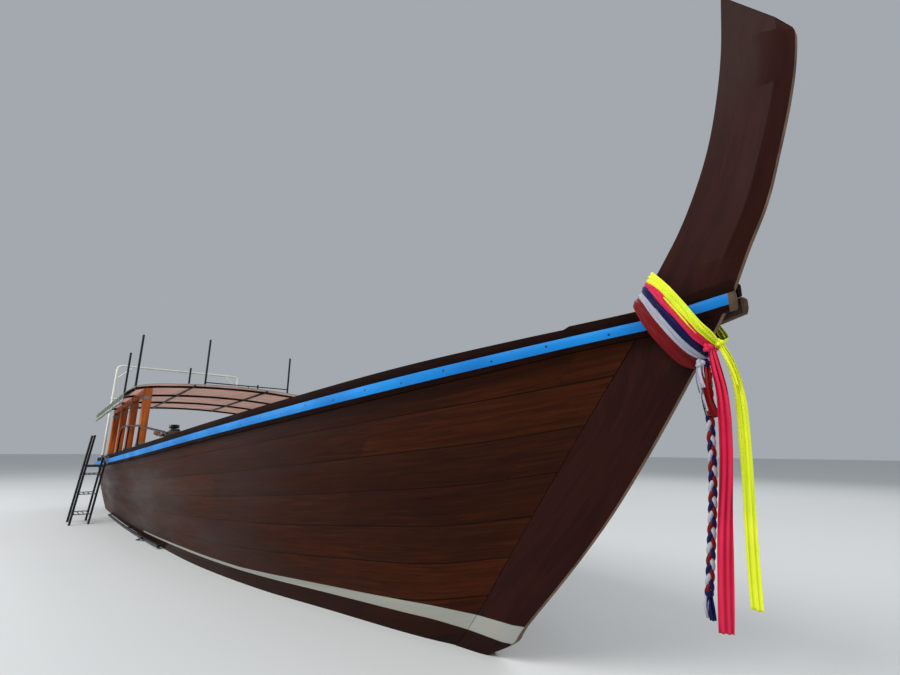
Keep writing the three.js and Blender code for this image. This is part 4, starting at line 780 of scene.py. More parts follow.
# The seams as steps up the hull's face
SIDE_SEAMS = [3.0, 5.0, 5.5, 6.0, 6.5, 7.0, 7.5, 8.0]
BOTTOM_SEAMS = [0.0, 1.0, 2.0, 3.0]
port_side = strakes(SIDE_SEAMS, 150, first=3)
port_bottom = strakes(BOTTOM_SEAMS, 120)
for side, turn in (("port", lambda s: s), ("starboard", mirrored)):
    planks = [f"side_planks_{side}_{length}" for length in ("aft", "middle", "fore")]
    with_stripe(piece(f"side_strakes_{side}", turn(port_side), "hull", planks, [side_varnish], crease=32))
    piece(f"bottom_strakes_{side}", turn(port_bottom), "hull", [f"bottom_planks_{side}"], [bottom_paint],
          crease=32)


# Stem and prow

STEM_LEVELS = [
    # front x z, half width at the front and at the bevel, step of the planks' ends
    [4.303, -0.150, 0.045, 0.050, 0], [4.600, 0.000, 0.030, 0.045, 2], [4.790, 0.110, 0.022, 0.047, 3],
    [4.825, 0.155, 0.020, 0.048, 4], [4.860, 0.200, 0.018, 0.048, 5], [5.130, 0.490, 0.016, 0.050, 5.5],
    [5.380, 0.780, 0.015, 0.050, 6], [5.610, 1.090, 0.015, 0.050, 6.5], [5.820, 1.400, 0.015, 0.050, 7],
    [5.965, 1.625, 0.015, 0.050, 8],
]
PROW_LEVELS = [
    # front x z, back x z
    [5.990, 1.668, 5.655, 1.712], [6.030, 1.740, 5.660, 1.768], [6.110, 1.910, 5.765, 1.920],
    [6.200, 2.090, 5.860, 2.060], [6.270, 2.290, 5.945, 2.220], [6.330, 2.480, 6.020, 2.400],
    [6.370, 2.640, 6.080, 2.610], [6.390, 2.780, 6.128, 2.850], [6.385, 2.800, 6.160, 3.130],
]


def stem():
    """Levels up the stem, each a ring of front edge, bevel and back edge on both sides, carried on
    smooth curves through the same points as the CAD levels."""
    rows = np.array(STEM_LEVELS)
    back = np.vstack([on_hull(np.array([1.0]), np.array([s]))[0] for s in rows[:, 4]])
    front = np.column_stack([rows[:, 0], rows[:, 2], rows[:, 1]])
    bevel = front + 0.2 * (back - front)
    bevel[:, 1] = rows[:, 3]
    prow = np.array(PROW_LEVELS)
    half = np.linspace(0.054, 0.044, len(prow))
    prow_front = np.column_stack([prow[:, 0], np.full(len(prow), 0.015), prow[:, 1]])
    prow_back = np.column_stack([prow[:, 2], half, prow[:, 3]])
    prow_bevel = prow_front + 0.2 * (prow_back - prow_front)
    prow_bevel[:, 1] = half
    front, bevel, back = (
        np.vstack([curve(a, 41), curve(b, 49)])
        for a, b in ((front, prow_front), (bevel, prow_bevel), (back, prow_back))
    )
    belly = bevel + 0.5 * (back - bevel)
    port = np.stack([front, bevel, belly, back], 1)
    rings = np.concatenate([port, (port * [1, -1, 1])[:, ::-1]], 1)
    run = lengths(belly)
    across = np.cumsum(np.linalg.norm(np.diff(port, axis=1, prepend=port[:, :1]), axis=2), 1)
    flat = pairs(run[:, None], across / 0.6)
    points, faces, marks, flat = loft(rings, 0, flat=np.concatenate([flat, flat[:, ::-1]], 1))
    # The narrow front, between the last and the first column, is bare worn timber, pale partly from wear and
    # partly as a painted highlight of the lit edge
    columns = faces[0] % 8
    marks[0] = np.where((columns.min(1) == 0) & (columns.max(1) == 7), 1, 0)
    return points, faces, marks, flat


prow = with_stripe(piece("stem_and_prow", stem(), "hull", ["stem_prow"], [stem_varnish, edge_wear_and_highlight],
                         crease=30), shell=False)
worn = prow.modifiers.new("rounded edges", "BEVEL")
worn.width = 0.004
worn.segments = 2
worn.angle_limit = math.radians(30)


# Ribbons round the prow: five strips side by side, each on the band of its own share

WRAP = np.array([
    # low x y z, up x y z
    [5.632, 0.000, 1.768, 5.728, 0.000, 1.905],
    [5.642, -0.080, 1.760, 5.742, -0.076, 1.897],
    [5.688, -0.184, 1.705, 5.835, -0.146, 1.788],
    [5.735, -0.188, 1.600, 5.890, -0.142, 1.700],
    [5.802, -0.114, 1.475, 5.948, -0.122, 1.600],
    [5.858, -0.050, 1.400, 5.992, -0.052, 1.545],
])
STRIPS = [
    # cloth, its low and high share of the band at the back of the prow, then at the knots, and fullness
    ("red", 0.00, 0.25, 0.04, 0.36, 1.1),
    ("white", 0.22, 0.42, 0.34, 0.50, 1.0),
    ("navy", 0.38, 0.57, 0.46, 0.70, 1.1),
    ("pink", 0.53, 0.72, 0.64, 0.84, 1.2),
    ("yellow", 0.66, 1.00, 0.78, 1.00, 2.4),
]


def wrap_place(run, share):
    """A place on the band: run goes from its middle at the back of the prow (0) to the knots (1), and
    share from its lower edge to its upper one."""
    low, up = curve_through(WRAP[:, 0:3])(run), curve_through(WRAP[:, 3:6])(run)
    return low + (up - low) * share


def strip(low_back, high_back, low_knot, high_knot, full, finish, side, phase):
    """One ribbon of the band. Its folds run lengthwise: a wave across it whose number grows with its
    fullness, shifts along it, and deepens towards the knots."""
    run, c = grid(np.linspace(0, 1, 90), np.linspace(0, 1, 22))
    low = low_back + (low_knot - low_back) * run
    high = high_back + (high_knot - high_back) * run
    # The last 18 % of it is gathered towards the middle of the knots
    last = np.clip((run - 0.82) / 0.18, 0, 1) ** 2
    middle = (low_knot + high_knot) / 2
    middle = middle + (0.55 - middle) * 0.35
    low, high = low + (middle - low) * 0.62 * last, high + (middle - high) * 0.62 * last
    share = low + (high - low) * c
    points = np.stack([wrap_place(run[:, k], share[:, k:k + 1]) for k in range(22)], 1)
    along = unit(np.gradient(points, axis=0))
    across = unit(np.gradient(points, axis=1))
    out = unit(np.cross(along, across))
    out = np.where(out[..., 1:2] > 0, -out, out)
    fold = np.cos(2 * np.pi * (c * (1.2 * full) + 0.5 * np.sin(run * 6 + phase) + phase))
    fine = np.cos(2 * np.pi * (c * 3.1 * full + 0.7 * np.sin(run * 9 + 2 * phase)) + run * 4)
    edge = np.sin(np.pi * np.clip(c, 0.0, 1.0)) ** 0.5
    deep = (0.0020 + 0.0030 * run) * (1 + 0.5 * (full > 2))
    lift = 0.003 + 0.0016 * phase + edge * (0.004 + deep * fold + 0.35 * deep * fine)
    points = points + out * lift[..., None]
    flat = pairs(c * 0.06 * full, run * 0.55)
    front, back = points, points - out * 0.0014
    if side > 0:
        # From the far side it comes round in front of the stem to the knots
        ending = np.clip((run - 0.8) / 0.2, 0, 1)[..., None] ** 2
        swing = np.concatenate([np.ones_like(ending), 1.9 * ending - 1, np.ones_like(ending)], 2)
        front, back = (face * swing - ending * [0.03, 0, 0] for face in (front, back))
        return skin(front[::-1], back[::-1], finish, flat[::-1])
    return skin(front, back, finish, flat)


def knot(place, size, axis, finish):
    """Tied cloth: a tube wound on itself, its middle line a ring that also turns through its own hole,
    its section pleated by a wave."""
    axis = unit(np.asarray(axis, float))
    side = unit(np.cross([0.3, 0.2, 1.0], axis))
    up = np.cross(axis, side)
    t = np.linspace(0, 2 * np.pi, 72, endpoint=False)
    ring = 0.55 + 0.16 * np.cos(3 * t)
    turns = np.column_stack([0.8 * ring * np.cos(t), ring * np.sin(t), 0.34 * np.sin(3 * t)])
    path = np.asarray(place) + size * turns @ np.array([side, up, axis])
    return tube(path, size * (0.42 + 0.05 * np.sin(7 * t)), 12, finish, closed=True)


def tail_end(path, wide, finish):
    """A short loose end with its cut edge slightly flared."""
    path = curve(path, 26)
    wide = np.interp(np.linspace(0, 1, 26), [0, 0.15, 1], [0.4 * wide, 0.75 * wide, wide])
    return ribbon(path, wide, TOWARDS_EYE, 1.6, 0.005, 20, finish, 0.5)


TOWARDS_EYE = np.array([0.45, -1.0, 0.0])
BAND = [name for name, *_ in STRIPS]
KNOTS = {
    # place, size, and the direction that its hole looks in
    "white": ((5.899, -0.080, 1.452), 0.020, (0.3, -1, 0.5)),
    "pink": ((5.938, -0.088, 1.512), 0.021, (0.2, -1, 0.3)),
    "yellow": ((5.972, -0.062, 1.530), 0.018, (0.5, -1, 0.3)),
    "navy": ((5.918, -0.066, 1.452), 0.018, (0.4, -1, 0.2)),
}
LOOSE_ENDS = [
    # cloth, the knot it hangs from, width, and the places it passes
    ("white", "white", 0.030, (5.900, -0.092, 1.405), (5.908, -0.092, 1.350)),
    ("white", "white", 0.022, (5.888, -0.086, 1.400), (5.889, -0.080, 1.330)),
    ("red", "navy", 0.040, (5.921, -0.086, 1.39), (5.918, -0.080, 1.30), (5.934, -0.070, 1.232)),
    ("yellow", "yellow", 0.020, (5.992, -0.060, 1.47), (6.008, -0.050, 1.40), (6.014, -0.046, 1.352)),
]
INTO_BRAID = [
    # cloth, the knot it hangs from, width, depth of its folds, columns, and the places it passes
    ("navy", "navy", 0.022, 0.005, 18, (5.898, -0.066, 1.38), (5.893, -0.060, 1.30), (5.900, -0.056, 1.235)),
    ("red", "navy", 0.022, 0.005, 18, (5.905, -0.072, 1.37), (5.905, -0.066, 1.30), (5.900, -0.060, 1.24)),
    ("white", "white", 0.016, 0.004, 16, (5.893, -0.075, 1.36), (5.897, -0.070, 1.30),
     (5.902, -0.058, 1.24)),
]


def bow_ribbons():
    """The band's strips on both sides, their knots, the loose ends, and three strips into the braid."""
    for k, (_, *shares, full) in enumerate(STRIPS):
        yield strip(*shares, full, k, -1, 0.31 * k)
        yield strip(*shares, full, k, 1, 0.31 * k + 0.4)
    for name, (place, size, axis) in KNOTS.items():
        yield knot(place, size, axis, BAND.index(name))
    for name, tied, wide, *places in LOOSE_ENDS:
        yield tail_end([KNOTS[tied][0], *places], wide, BAND.index(name))
    for name, tied, wide, deep, count, *places in INTO_BRAID:
        path = curve([KNOTS[tied][0], *places], 30)
        yield ribbon(path, wide, TOWARDS_EYE, 1.4, deep, count, BAND.index(name))


wrap = piece("prow_ribbons", together(bow_ribbons()), "hull", ["ribbon_wrap"],
             [cloths[name] for name in BAND])

PINK_ROUTE = [(5.950, -0.078, 1.500), (5.956, -0.072, 1.430), (5.962, -0.064, 1.330), (5.946, -0.056, 1.100),
              (5.907, -0.051, 0.800), (5.868, -0.050, 0.440)]
YELLOW_ROUTE = [(5.978, -0.052, 1.520), (6.000, -0.034, 1.440), (6.010, -0.022, 1.330),
                (6.000, -0.012, 1.100), (5.984, -0.006, 0.850), (5.965, 0.002, 0.530)]


def sash(route, wide, pleats, deep, twist):
    """Long strip hung from its knot: gathered narrow at the top, opening to its width, and slowly
    turning on itself on its way down."""
    path = curve(route, 150)
    run = lengths(path) / lengths(path)[-1]
    width = np.interp(run, [0, 0.08, 0.25, 1], [0.45 * wide, 0.7 * wide, 0.92 * wide, wide])
    hollow = np.interp(run, [0, 0.2, 1], [1.4 * deep, 1.0 * deep, 0.62 * deep])
    return ribbon(path, width, TOWARDS_EYE, pleats, hollow, 44, 0, twist)


for name, route, wide, pleats, deep, twist, flat in (
    ("pink", PINK_ROUTE, 0.056, 2.6, 0.0072, 0.35, (0.102, 1.09)),
    ("yellow", YELLOW_ROUTE, 0.046, 2.2, 0.0065, -0.5, (0.082, 1.01)),
):
    hung = piece(f"{name}_ribbon", sash(route, wide, pleats, deep, twist), "hull", [f"{name}_sash"],
                 [cloths[name]])


# Rails

# Where the rails run on past the stem
BOW_RAIL = np.array([[5.830, 0.076, 1.690], [5.950, 0.050, 1.713], [6.045, 0.030, 1.730]])


def sheer_stations():
    """Points along the sheer and past the stem, with the direction outwards and the share of the bow."""
    share = np.linspace(0, PLANKS_END, 150)
    points = sheer_line(share)
    ahead = unit(np.gradient(points, axis=0))
    out = unit(np.column_stack([-ahead[:, 1], ahead[:, 0], 0 * share]))
    bow = np.clip((share - 0.7) / 0.3, 0, 1)
    past = curve(np.vstack([points[-1], BOW_RAIL]), 13)[1:]
    turn = np.linspace(0, 1, len(past))[:, None]
    out_past = unit(out[-1] * (1 - turn) + np.array([0.24, 0.97, 0]) * turn)
    bow = np.concatenate([bow ** 2 * (3 - 2 * bow), np.ones(len(past))])
    return np.vstack([points, past]), np.vstack([out, out_past]), bow


SHEER, SHEER_OUT, BOW_SHARE = sheer_stations()
UP = np.array([0, 0, 1.0])


def rail_rings(points, out, low, high, inner, outer, edge):
    """Rounded four-cornered section carried along the sheer: low and high up from it, inner and outer
    away from it."""
    low, high, inner, outer = (np.broadcast_to(x, len(points)) for x in (low, high, inner, outer))
    middles = points + (out * (inner + outer)[:, None] + UP * (low + high)[:, None]) / 2
    return np.array([
        section(middles[k], out[k], UP, outer[k] - inner[k], high[k] - low[k], edge)
        for k in range(len(points))
    ])


# Heights of the cap and of the blue rail, which is 23 mm lower at the bow
CAP_HIGH = 0.070
rail_high = 0.095 - 0.023 * BOW_SHARE
rail_run = lengths(SHEER)


def nail_heads():
    """Nail heads along the blue rail, 300 mm apart, by turns high and low, standing a little proud; their
    dark paint is partly painted shade of a sunk head.
    """
    places = np.arange(0.12, rail_run[-1] - 0.05, 0.30)
    for k, place in enumerate(places):
        centre = np.array([np.interp(place, rail_run, SHEER[:, i]) for i in range(3)])
        out = unit(np.array([np.interp(place, rail_run, SHEER_OUT[:, i]) for i in range(3)]))
        high = np.interp(place, rail_run, rail_high)
        at = centre + out * 0.0436 - UP * high * (0.30 if k % 2 else 0.44)
        yield turned(at, at + out, [[0, 0.0062], [0.0012, 0.0058], [0.0018, 0.003]], 10, 1)


def gunwale():
    """Dark cap on the sheer. Its inner edge stays clear of the stem, and its fore end from the scarf
    on is a little higher."""
    x = SHEER[:, 0]
    high = CAP_HIGH - 0.025 * BOW_SHARE + 0.012 * (x > 5.36)
    clear = np.interp(x, [5.5, 5.62, 5.9, 6.045], [0.012, 0.057, 0.05, 0.02])
    inside = np.minimum(0.112, SHEER[:, 1] - clear)
    return loft(rail_rings(SHEER, SHEER_OUT, 0.0006, high, -inside, 0.016, 0.009))


def rubbing_rail(bare):
    """Blue rail with its nails. Its lower edge is planed back and takes the dark rail timber as painted
    shade under the blue, and a length at its fore end is rubbed down to the timber."""
    rings = rail_rings(SHEER, SHEER_OUT, -rail_high, 0.0, 0.0008, 0.044, 0.007)
    # The lower outer corner gives way to a slope, from the underside up to an arris on the face
    arris = rings[:, 11] + (rings[:, 0] - rings[:, 11]) * 0.27
    foot = rings[:, 9] - SHEER_OUT * 0.003
    slope = np.stack([foot, arris - UP * 0.002 - SHEER_OUT * 0.0012, arris], 1)
    rings = np.concatenate([rings[:, :9], slope], 1)
    drawn = rings[-1] + (rings[-1].mean(0) - rings[-1]) * 0.25 + [0.006, 0, 0]
    points, faces, marks, flat = loft(np.concatenate([rings, drawn[None]]))
    rows, columns = np.divmod(np.arange(len(faces[0])), 12)
    # Painted shade: the planed slope, columns 8 to 10, takes the dark rail timber, standing for the shadow
    # under the blue rail
    marks[0] = np.where((columns >= 8) & (columns < 11), 3, 0)
    bared = rail_run[np.minimum(rows + 1, len(rail_run) - 1)] > rail_run[-1] - bare
    marks[0] = np.where(bared, 2, marks[0])
    marks[2] = marks[2] * 0 + 2
    return together([(points, faces, marks, flat), *nail_heads()])


port_cap = gunwale()
for side, turn, bare in (("port", lambda s: s, 0.17), ("starboard", mirrored, 0.004)):
    piece(f"rub_rail_{side}_painted", turn(rubbing_rail(bare)), "hull",
          [f"rub_rail_{side}_aft", f"rub_rail_{side}_fore"], [rail_blue, nail_paint_and_shade, rail_end, cap_timber],
          crease=35)
    piece(f"gunwale_{side}_cap", turn(port_cap), "hull", [f"gunwale_{side}_aft", f"gunwale_{side}_fore"],
          [cap_timber], crease=35)


def sheer_z(x):
    """Height of the sheer at a distance along the boat."""
    return np.interp(x, SHEER[:, 0], SHEER[:, 2])


# House: pipe bows on timber posts, with the roof's sheet over them

HOUSE_BOWS = [-0.71, -1.70, -2.65, -3.55]
# Fall of the roof per metre, height of its middle at the first bow, and the pipes' radius
HOUSE_FALL = 0.042
CROWN = 1.945
PIPE = 0.016
# Places across the roof: its edge, and all the pipes that run along it
EAVES = 1.29
ROOF_PIPES = [-EAVES, -1.18, -0.5, 0.5, 1.18, EAVES]
roof_half = curve([(0, 0, 0), (0, 0.35, -0.008), (0, 0.70, -0.028), (0, 1.0, -0.056), (0, 1.18, -0.100),
                   (0, EAVES, -0.185)], 61)
ROOF_Y = np.concatenate([-roof_half[:0:-1, 1], roof_half[:, 1]])
ROOF_DROP = np.concatenate([roof_half[:0:-1, 2], roof_half[:, 2]])
POLES = [
    # x, y, top
    (-0.71, -1.18, 2.58), (-0.71, -0.35, 2.64), (-0.71, 0.86, 2.52),
    (-1.70, -1.18, 2.48), (-1.70, -0.35, 2.345), (-1.70, 0.727, 2.17),
]
# Height of the low rail, and the two ends of the sheet
ROOF_RAIL = 2.012
COVER_FORE, COVER_AFT = -0.56, -3.66


def on_roof(x, y):
    """Middle of the roof pipes: the bow's height at y, falling by an even slope towards the stern."""
    x, y = np.broadcast_arrays(np.asarray(x, float), np.asarray(y, float))
    z = CROWN - HOUSE_FALL * (HOUSE_BOWS[0] - x) + np.interp(y, ROOF_Y, ROOF_DROP)
    return np.stack([x, y, z], -1)


def roof_frame():
    """Bows across, pipes along, thin poles up through the sheet, and a low rail at the front."""
    for x in HOUSE_BOWS:
        yield tube(on_roof(x, ROOF_Y), PIPE, 12)
    fore, aft = HOUSE_BOWS[0] + 0.12, HOUSE_BOWS[-1] - 0.06
    for y in ROOF_PIPES:
        yield disc(on_roof(fore, y), on_roof(aft, y), PIPE)
        for x in HOUSE_BOWS:
            weld = on_roof(x, y)
            yield turned(weld - [0.024, 0, 0], weld + [0.024, 0, 0],
                         [[0, PIPE], [0.012, PIPE + 0.003], [0.036, PIPE + 0.003], [0.048, PIPE]], 12)
    for x, y, top in POLES:
        foot = on_roof(x, y)
        yield disc(foot, (x, y, top), 0.014, 0.004, 12)
        yield disc(foot + [0, 0, 0.012], foot + [0, 0, 0.05], 0.018, 0.003, 12)
    x = HOUSE_BOWS[0]
    yield disc((x, -0.35, ROOF_RAIL), (x, 0.86, ROOF_RAIL), PIPE / 2, sides=10)
    yield disc(on_roof(x, 0.25), (x, 0.25, ROOF_RAIL), PIPE / 2, sides=10)


piece("roof_frame", together(roof_frame()), "hull", ["canopy_frame"], [black_pipe], crease=40)


def roof_sheet(x, y, out):
    """A place on the sheet: square out from the pipes by a distance, and sagging between the pipes
    that carry it by the product of two half sine waves."""
    ends = np.array([COVER_AFT, *HOUSE_BOWS[::-1], COVER_FORE])
    sides = np.array([-1.31, *ROOF_PIPES[1:-1], 1.31])
    bay_x = np.clip(np.searchsorted(ends, x) - 1, 0, len(ends) - 2)
    bay_y = np.clip(np.searchsorted(sides, y) - 1, 0, len(sides) - 2)
    part_x = (x - ends[bay_x]) / (ends[bay_x + 1] - ends[bay_x])
    part_y = (y - sides[bay_y]) / (sides[bay_y + 1] - sides[bay_y])
    wide = np.minimum(1, (sides[bay_y + 1] - sides[bay_y]) / 0.7)
    sag = np.sin(np.pi * part_x) * np.sin(np.pi * part_y) * 0.013 * wide
    ripple = 0.0022 * np.sin(9 * x + 4 * y) * np.sin(7 * y - 3 * x)
    slope = np.gradient(np.interp(y[0], ROOF_Y, ROOF_DROP), y[0])
    normal = unit(np.stack([np.zeros_like(slope), -slope, np.ones_like(slope)], -1))
    base = on_roof(x, y)
    return base + normal[None] * (out - sag + np.abs(ripple) * np.sin(np.pi * part_x))[..., None]


def cover():
    """The sheet, 3 mm thick as coated cloth looks at its edges, on top of the pipes."""
    x, y = grid(np.linspace(COVER_FORE, COVER_AFT, 120), np.linspace(-EAVES, EAVES, 130))
    low = roof_sheet(x, y, PIPE + 0.0012)
    high = roof_sheet(x, y, PIPE + 0.0042)
    return skin(high, low, 0, pairs(x, y), under=1)


def webbing():
    """Bands sewn over the sheet above each bow, and a rolled hem round its ends."""
    y = np.linspace(-1.288, 1.288, 110)
    for x in HOUSE_BOWS:
        xs, ys = grid(np.linspace(x - 0.03, x + 0.03, 4), y)
        high = roof_sheet(xs, ys, PIPE + 0.0068)
        low = roof_sheet(xs, ys, PIPE + 0.0040)
        yield skin(high, low, 0, pairs(xs, ys))
    for x in (COVER_FORE, COVER_AFT):
        xs, ys = grid([x], y)
        yield tube(roof_sheet(xs, ys, PIPE + 0.003)[0], 0.0055, 8)


sheet = piece("roof_sheet", cover(), "hull", ["canopy_cover"], [cover_top, cover_underside_glow])
bands = piece("roof_sheet_bands", together(webbing()), "hull", (), [pale_cloth])
roof_wide = float(lengths(on_roof(-1.0, ROOF_Y))[-1])


# Depth of the flap, and its distance from the boat's middle
FLAP_DEEP, FLAP_Y = 0.122, 1.3075


def on_flap(side, x, down, out):
    """A place out from the flap's middle: a shallow wave along it that grows towards its lower edge."""
    edge = on_roof(x, EAVES)[..., 2] + 0.006
    wave = np.sin(x * 21) * 0.6 + np.sin(x * 8.3 + 1) * 0.4
    y = FLAP_Y + wave * 0.006 * down
    z = edge - (FLAP_DEEP + 0.006 * np.sin(x * 6)) * down
    return np.stack([x, side * (y + out), z], -1)


def valance(side):
    """Flap hung from the roof's edge."""
    x, down = grid(np.linspace(COVER_FORE, COVER_AFT, 200), np.linspace(0, 1, 12))
    front, back = on_flap(side, x, down, 0.0012), on_flap(side, x, down, -0.0012)
    flat = pairs(x, down * FLAP_DEEP)
    return skin(front, back, 0, flat) if side < 0 else skin(front[::-1], back[::-1], 0, flat[::-1])


def valance_trim(side):
    """A pale band along the flap's lower part and dark seams down it, each on the flap's own wave."""
    x, down = grid(np.linspace(COVER_FORE, COVER_AFT, 200), np.linspace(0.55, 0.80, 4))
    flat = pairs(x, down * FLAP_DEEP)
    yield skin(on_flap(side, x, down, 0.0028), on_flap(side, x, down, 0.001), 0, flat)
    for place in np.arange(COVER_FORE - 0.28, COVER_AFT + 0.1, -0.31):
        x, down = grid(place + np.linspace(-0.013, 0.013, 3), np.linspace(0, 1, 12))
        flat = pairs(x, down)
        yield skin(on_flap(side, x, down, 0.0036), on_flap(side, x, down, 0.001), 1, flat)


for side, name in ((1, "port"), (-1, "starboard")):
    flap = piece(f"roof_flap_{name}", valance(side), "hull", [f"valance_{name}"], [valance_cloth])
    trim = piece(f"roof_flap_{name}_bands", together(valance_trim(side)), "hull", (), [pale_cloth, rubber])


# Half a post's width along the boat and across it, and the plate's height and half width
POST_Y, POST_HALF, POST_DEEP = 1.03, 0.060, 0.045
PLATE_HIGH, PLATE_HALF = 0.080, 0.040


def house_side(side, bows, fore, aft):
    """Squared posts from the gunwale up, the plate along their heads, and a strap with two bolts where
    each post meets it."""
    top = lambda x: float(on_roof(x, POST_Y)[2]) - PIPE + 0.003
    y, deep = side * POST_Y, POST_DEEP + 0.002
    plate = [(x, y, top(x) - PLATE_HIGH / 2 - 0.0035) for x in np.linspace(aft, fore, 12)]
    yield board(np.array(plate), PLATE_HIGH - 0.004, 2 * PLATE_HALF, UP, 0.006)
    for x in bows:
        foot, high = sheer_z(x) + 0.0735, top(x) - 0.014
        post = [(x, y, z) for z in np.linspace(foot, high, 14)]
        yield board(np.array(post), 2 * POST_HALF - 0.002, 2 * POST_DEEP - 0.002, np.array([1, 0, 0]), 0.007)
        for up in (foot + 0.035, high - 0.12):
            yield slab(x - POST_HALF - 0.002, x + POST_HALF + 0.002, y - deep, y + deep, up - 0.018,
                       up + 0.018, 0.002, 1)
            for across in (-0.03, 0.03):
                for face in (-1, 1):
                    yield bolt((x + across, y + face * deep, up), (0, face, 0), 0.006, 0.005, 1)


for side, name, bows, fore, aft in (
    (1, "port_fore", HOUSE_BOWS[:2], -0.650, -2.1747), (1, "port_aft", HOUSE_BOWS[2:], -2.1753, -3.610),
    (-1, "starboard_fore", HOUSE_BOWS[:1], -0.650, -1.2047),
    (-1, "starboard_middle", HOUSE_BOWS[1:2], -1.2053, -2.1747),
    (-1, "starboard_aft", HOUSE_BOWS[2:], -2.1753, -3.610),
):
    piece(f"house_posts_{name}", together(house_side(side, bows, fore, aft)), "hull", [f"house_side_{name}"],
          [post_varnish, bare_steel], crease=35)


# Pipes at the stern and along the side

def foot_plate(x, y, z, radius=0.045):
    """Round flange on the gunwale with four bolts."""
    yield turned((x, y, z), (x, y, z + 1), [[0, radius], [0.005, radius], [0.008, radius - 0.006]], 24)
    for c, s in around(4, 0.7 * radius, math.pi / 4):
        yield bolt((x + c, y + s, z + 0.007), (0, 0, 1), 0.005, 0.004)


def stern_arch():
    """One bent hoop with corner braces and a cross pipe, all round pipe."""
    x, y, top, radius, brace = -4.06, 1.085, 2.6, 0.020, 0.26
    foot = sheer_z(x) + 0.066
    hoop = rounded([(x, -y, foot), (x, -y, top), (x, y, top), (x, y, foot)], 0.10, 10)
    low = top - 2.4 * brace
    yield tube(hoop, radius, 16)
    yield disc((x, -y, low), (x, y, low), radius * 0.7)
    for side in (-1, 1):
        yield disc((x, side * y, top - brace), (x, side * (y - brace), top), radius * 0.7)
        yield from foot_plate(x, side * y, foot + 0.004)
        for z in (low, top - brace):
            yield turned((x, side * y, z - 0.02), (x, side * y, z),
                         [[0, radius], [0.01, radius + 0.003], [0.03, radius + 0.003], [0.04, radius]], 16)


piece("stern_hoop", together(stern_arch()), "hull", ["stern_arch"], [white_pipe], crease=40)

HANDRAIL = [
    # x, y, z above the gunwale
    (-2.08, -1.105, 0.001), (-2.06, -1.106, 0.24), (-1.93, -1.108, 0.365), (-1.3, -1.106, 0.33),
    (-0.5, -1.094, 0.245), (0.3, -1.036, 0.11), (0.62, -1.004, 0.052), (0.7, -1.0, 0.002),
]


def handrail():
    """One pipe bent to rise from the gunwale and slope down forward, on two short legs, with a flange
    under each foot."""
    above = lambda p: (p[0], p[1], float(sheer_z(p[0])) + CAP_HIGH + p[2])
    corners = [above(p) for p in HANDRAIL]
    yield tube(rounded(corners, 0.09, 8), 0.013, 14)
    for k in (3, 4):
        yield disc(above((*HANDRAIL[k][:2], 0.004)), corners[k], 0.011)
        yield from foot_plate(*above((*HANDRAIL[k][:2], 0.002)), 0.03)
    for k in (0, 7):
        yield from foot_plate(*above((*HANDRAIL[k][:2], 0.003)), 0.03)


piece("side_handrail", together(handrail()), "hull", ["handrail_starboard"], [black_pipe], crease=40)


def hull_bar():
    """Round bar a hand's width above the water, a distance off the planks, on three short legs."""
    shares = np.linspace(0, 1, 21)
    shares = shares[(sheer_line(shares)[:, 0] > -3.4) & (sheer_line(shares)[:, 0] < 0.6)]
    off = lambda s, away: hull_face(s, np.array([5.0]), -away)[:, 0] * [1, -1, 1]
    path = off(np.linspace(shares[0], shares[-1], 60), 0.045)
    yield tube(path, 0.018, 14)
    for k in (0, 3, 6):
        a, b = off(shares[k:k + 1], 0.001)[0], off(shares[k:k + 1], 0.045)[0]
        yield disc(a, b, 0.009, 0.002, 10)
        yield turned(a, b, [[0, 0.024], [0.004, 0.024], [0.006, 0.020]], 16)


piece("side_bar", together(hull_bar()), "hull", ["hull_bar_starboard"], [black_pipe], crease=40)


# Boarding ladder

# Turning points of the stringers in Y and Z, and where the two are in X
HINGE, INNER_FOOT = np.array([0, -1.196, 0.952]), np.array([0, -1.335, -0.600])
OUTER_TOP, OUTER_FOOT = np.array([0, -1.385, 1.270]), np.array([0, -1.550, -0.490])
LADDER_AFT, LADDER_FORE = -2.78, -2.35


def ladder():
    """Two stringers, each a pipe bent down, out and up again, tied near the top, with five steps of
    round bars between them."""
    inner = lambda z: HINGE + (INNER_FOOT - HINGE) * (HINGE[2] - z) / (HINGE[2] - INNER_FOOT[2])
    fall = OUTER_FOOT - OUTER_TOP
    outer = lambda z: OUTER_TOP + fall * (z - OUTER_TOP[2]) / fall[2]
    at = lambda x, p: np.array([x, p[1], p[2]])
    for x in (LADDER_AFT, LADDER_FORE):
        bent = rounded([at(x, HINGE), at(x, INNER_FOOT), at(x, OUTER_FOOT), at(x, OUTER_TOP)], 0.045, 8)
        yield tube(bent, 0.015, 14)
        yield disc(at(x, inner(0.82)), at(x, outer(0.82)), 0.012)
        yield disc(at(x, OUTER_TOP - [0, 0, 0.004]), at(x, OUTER_TOP + [0, 0, 0.004]), 0.0165, 0.002, 14)
    for z in np.linspace(-0.42, 0.70, 5) + 0.003:
        a, b = inner(z), outer(z)
        for x in (LADDER_AFT, LADDER_FORE):
            yield disc(at(x, a), at(x, b), 0.006, 0.001, 10)
        for part in (0.12, 0.37, 0.63, 0.88):
            p = a + (b - a) * part
            yield disc(at(LADDER_AFT, p), at(LADDER_FORE, p), 0.0065, 0.001, 10)
    yield disc(at(LADDER_AFT - 0.036, HINGE), at(LADDER_FORE + 0.036, HINGE), 0.011, 0.003, 16)
    yield disc(at(LADDER_AFT, INNER_FOOT), at(LADDER_FORE, INNER_FOOT), 0.015, 0.002, 14)
    brace = inner(-0.54)
    yield tube(rounded([at(LADDER_FORE, brace), at(LADDER_FORE + 0.3, brace + [0, 0.06, 0.08]),
                        (-0.33, -0.914, 0.04)], 0.1, 6), 0.012, 12)


piece("boarding_ladder", together(ladder()), "ladder", ["ladder"], [black_pipe], crease=40)


# Tail: places are metres along the shaft from the tilting pin, turned down by its pitch at rest

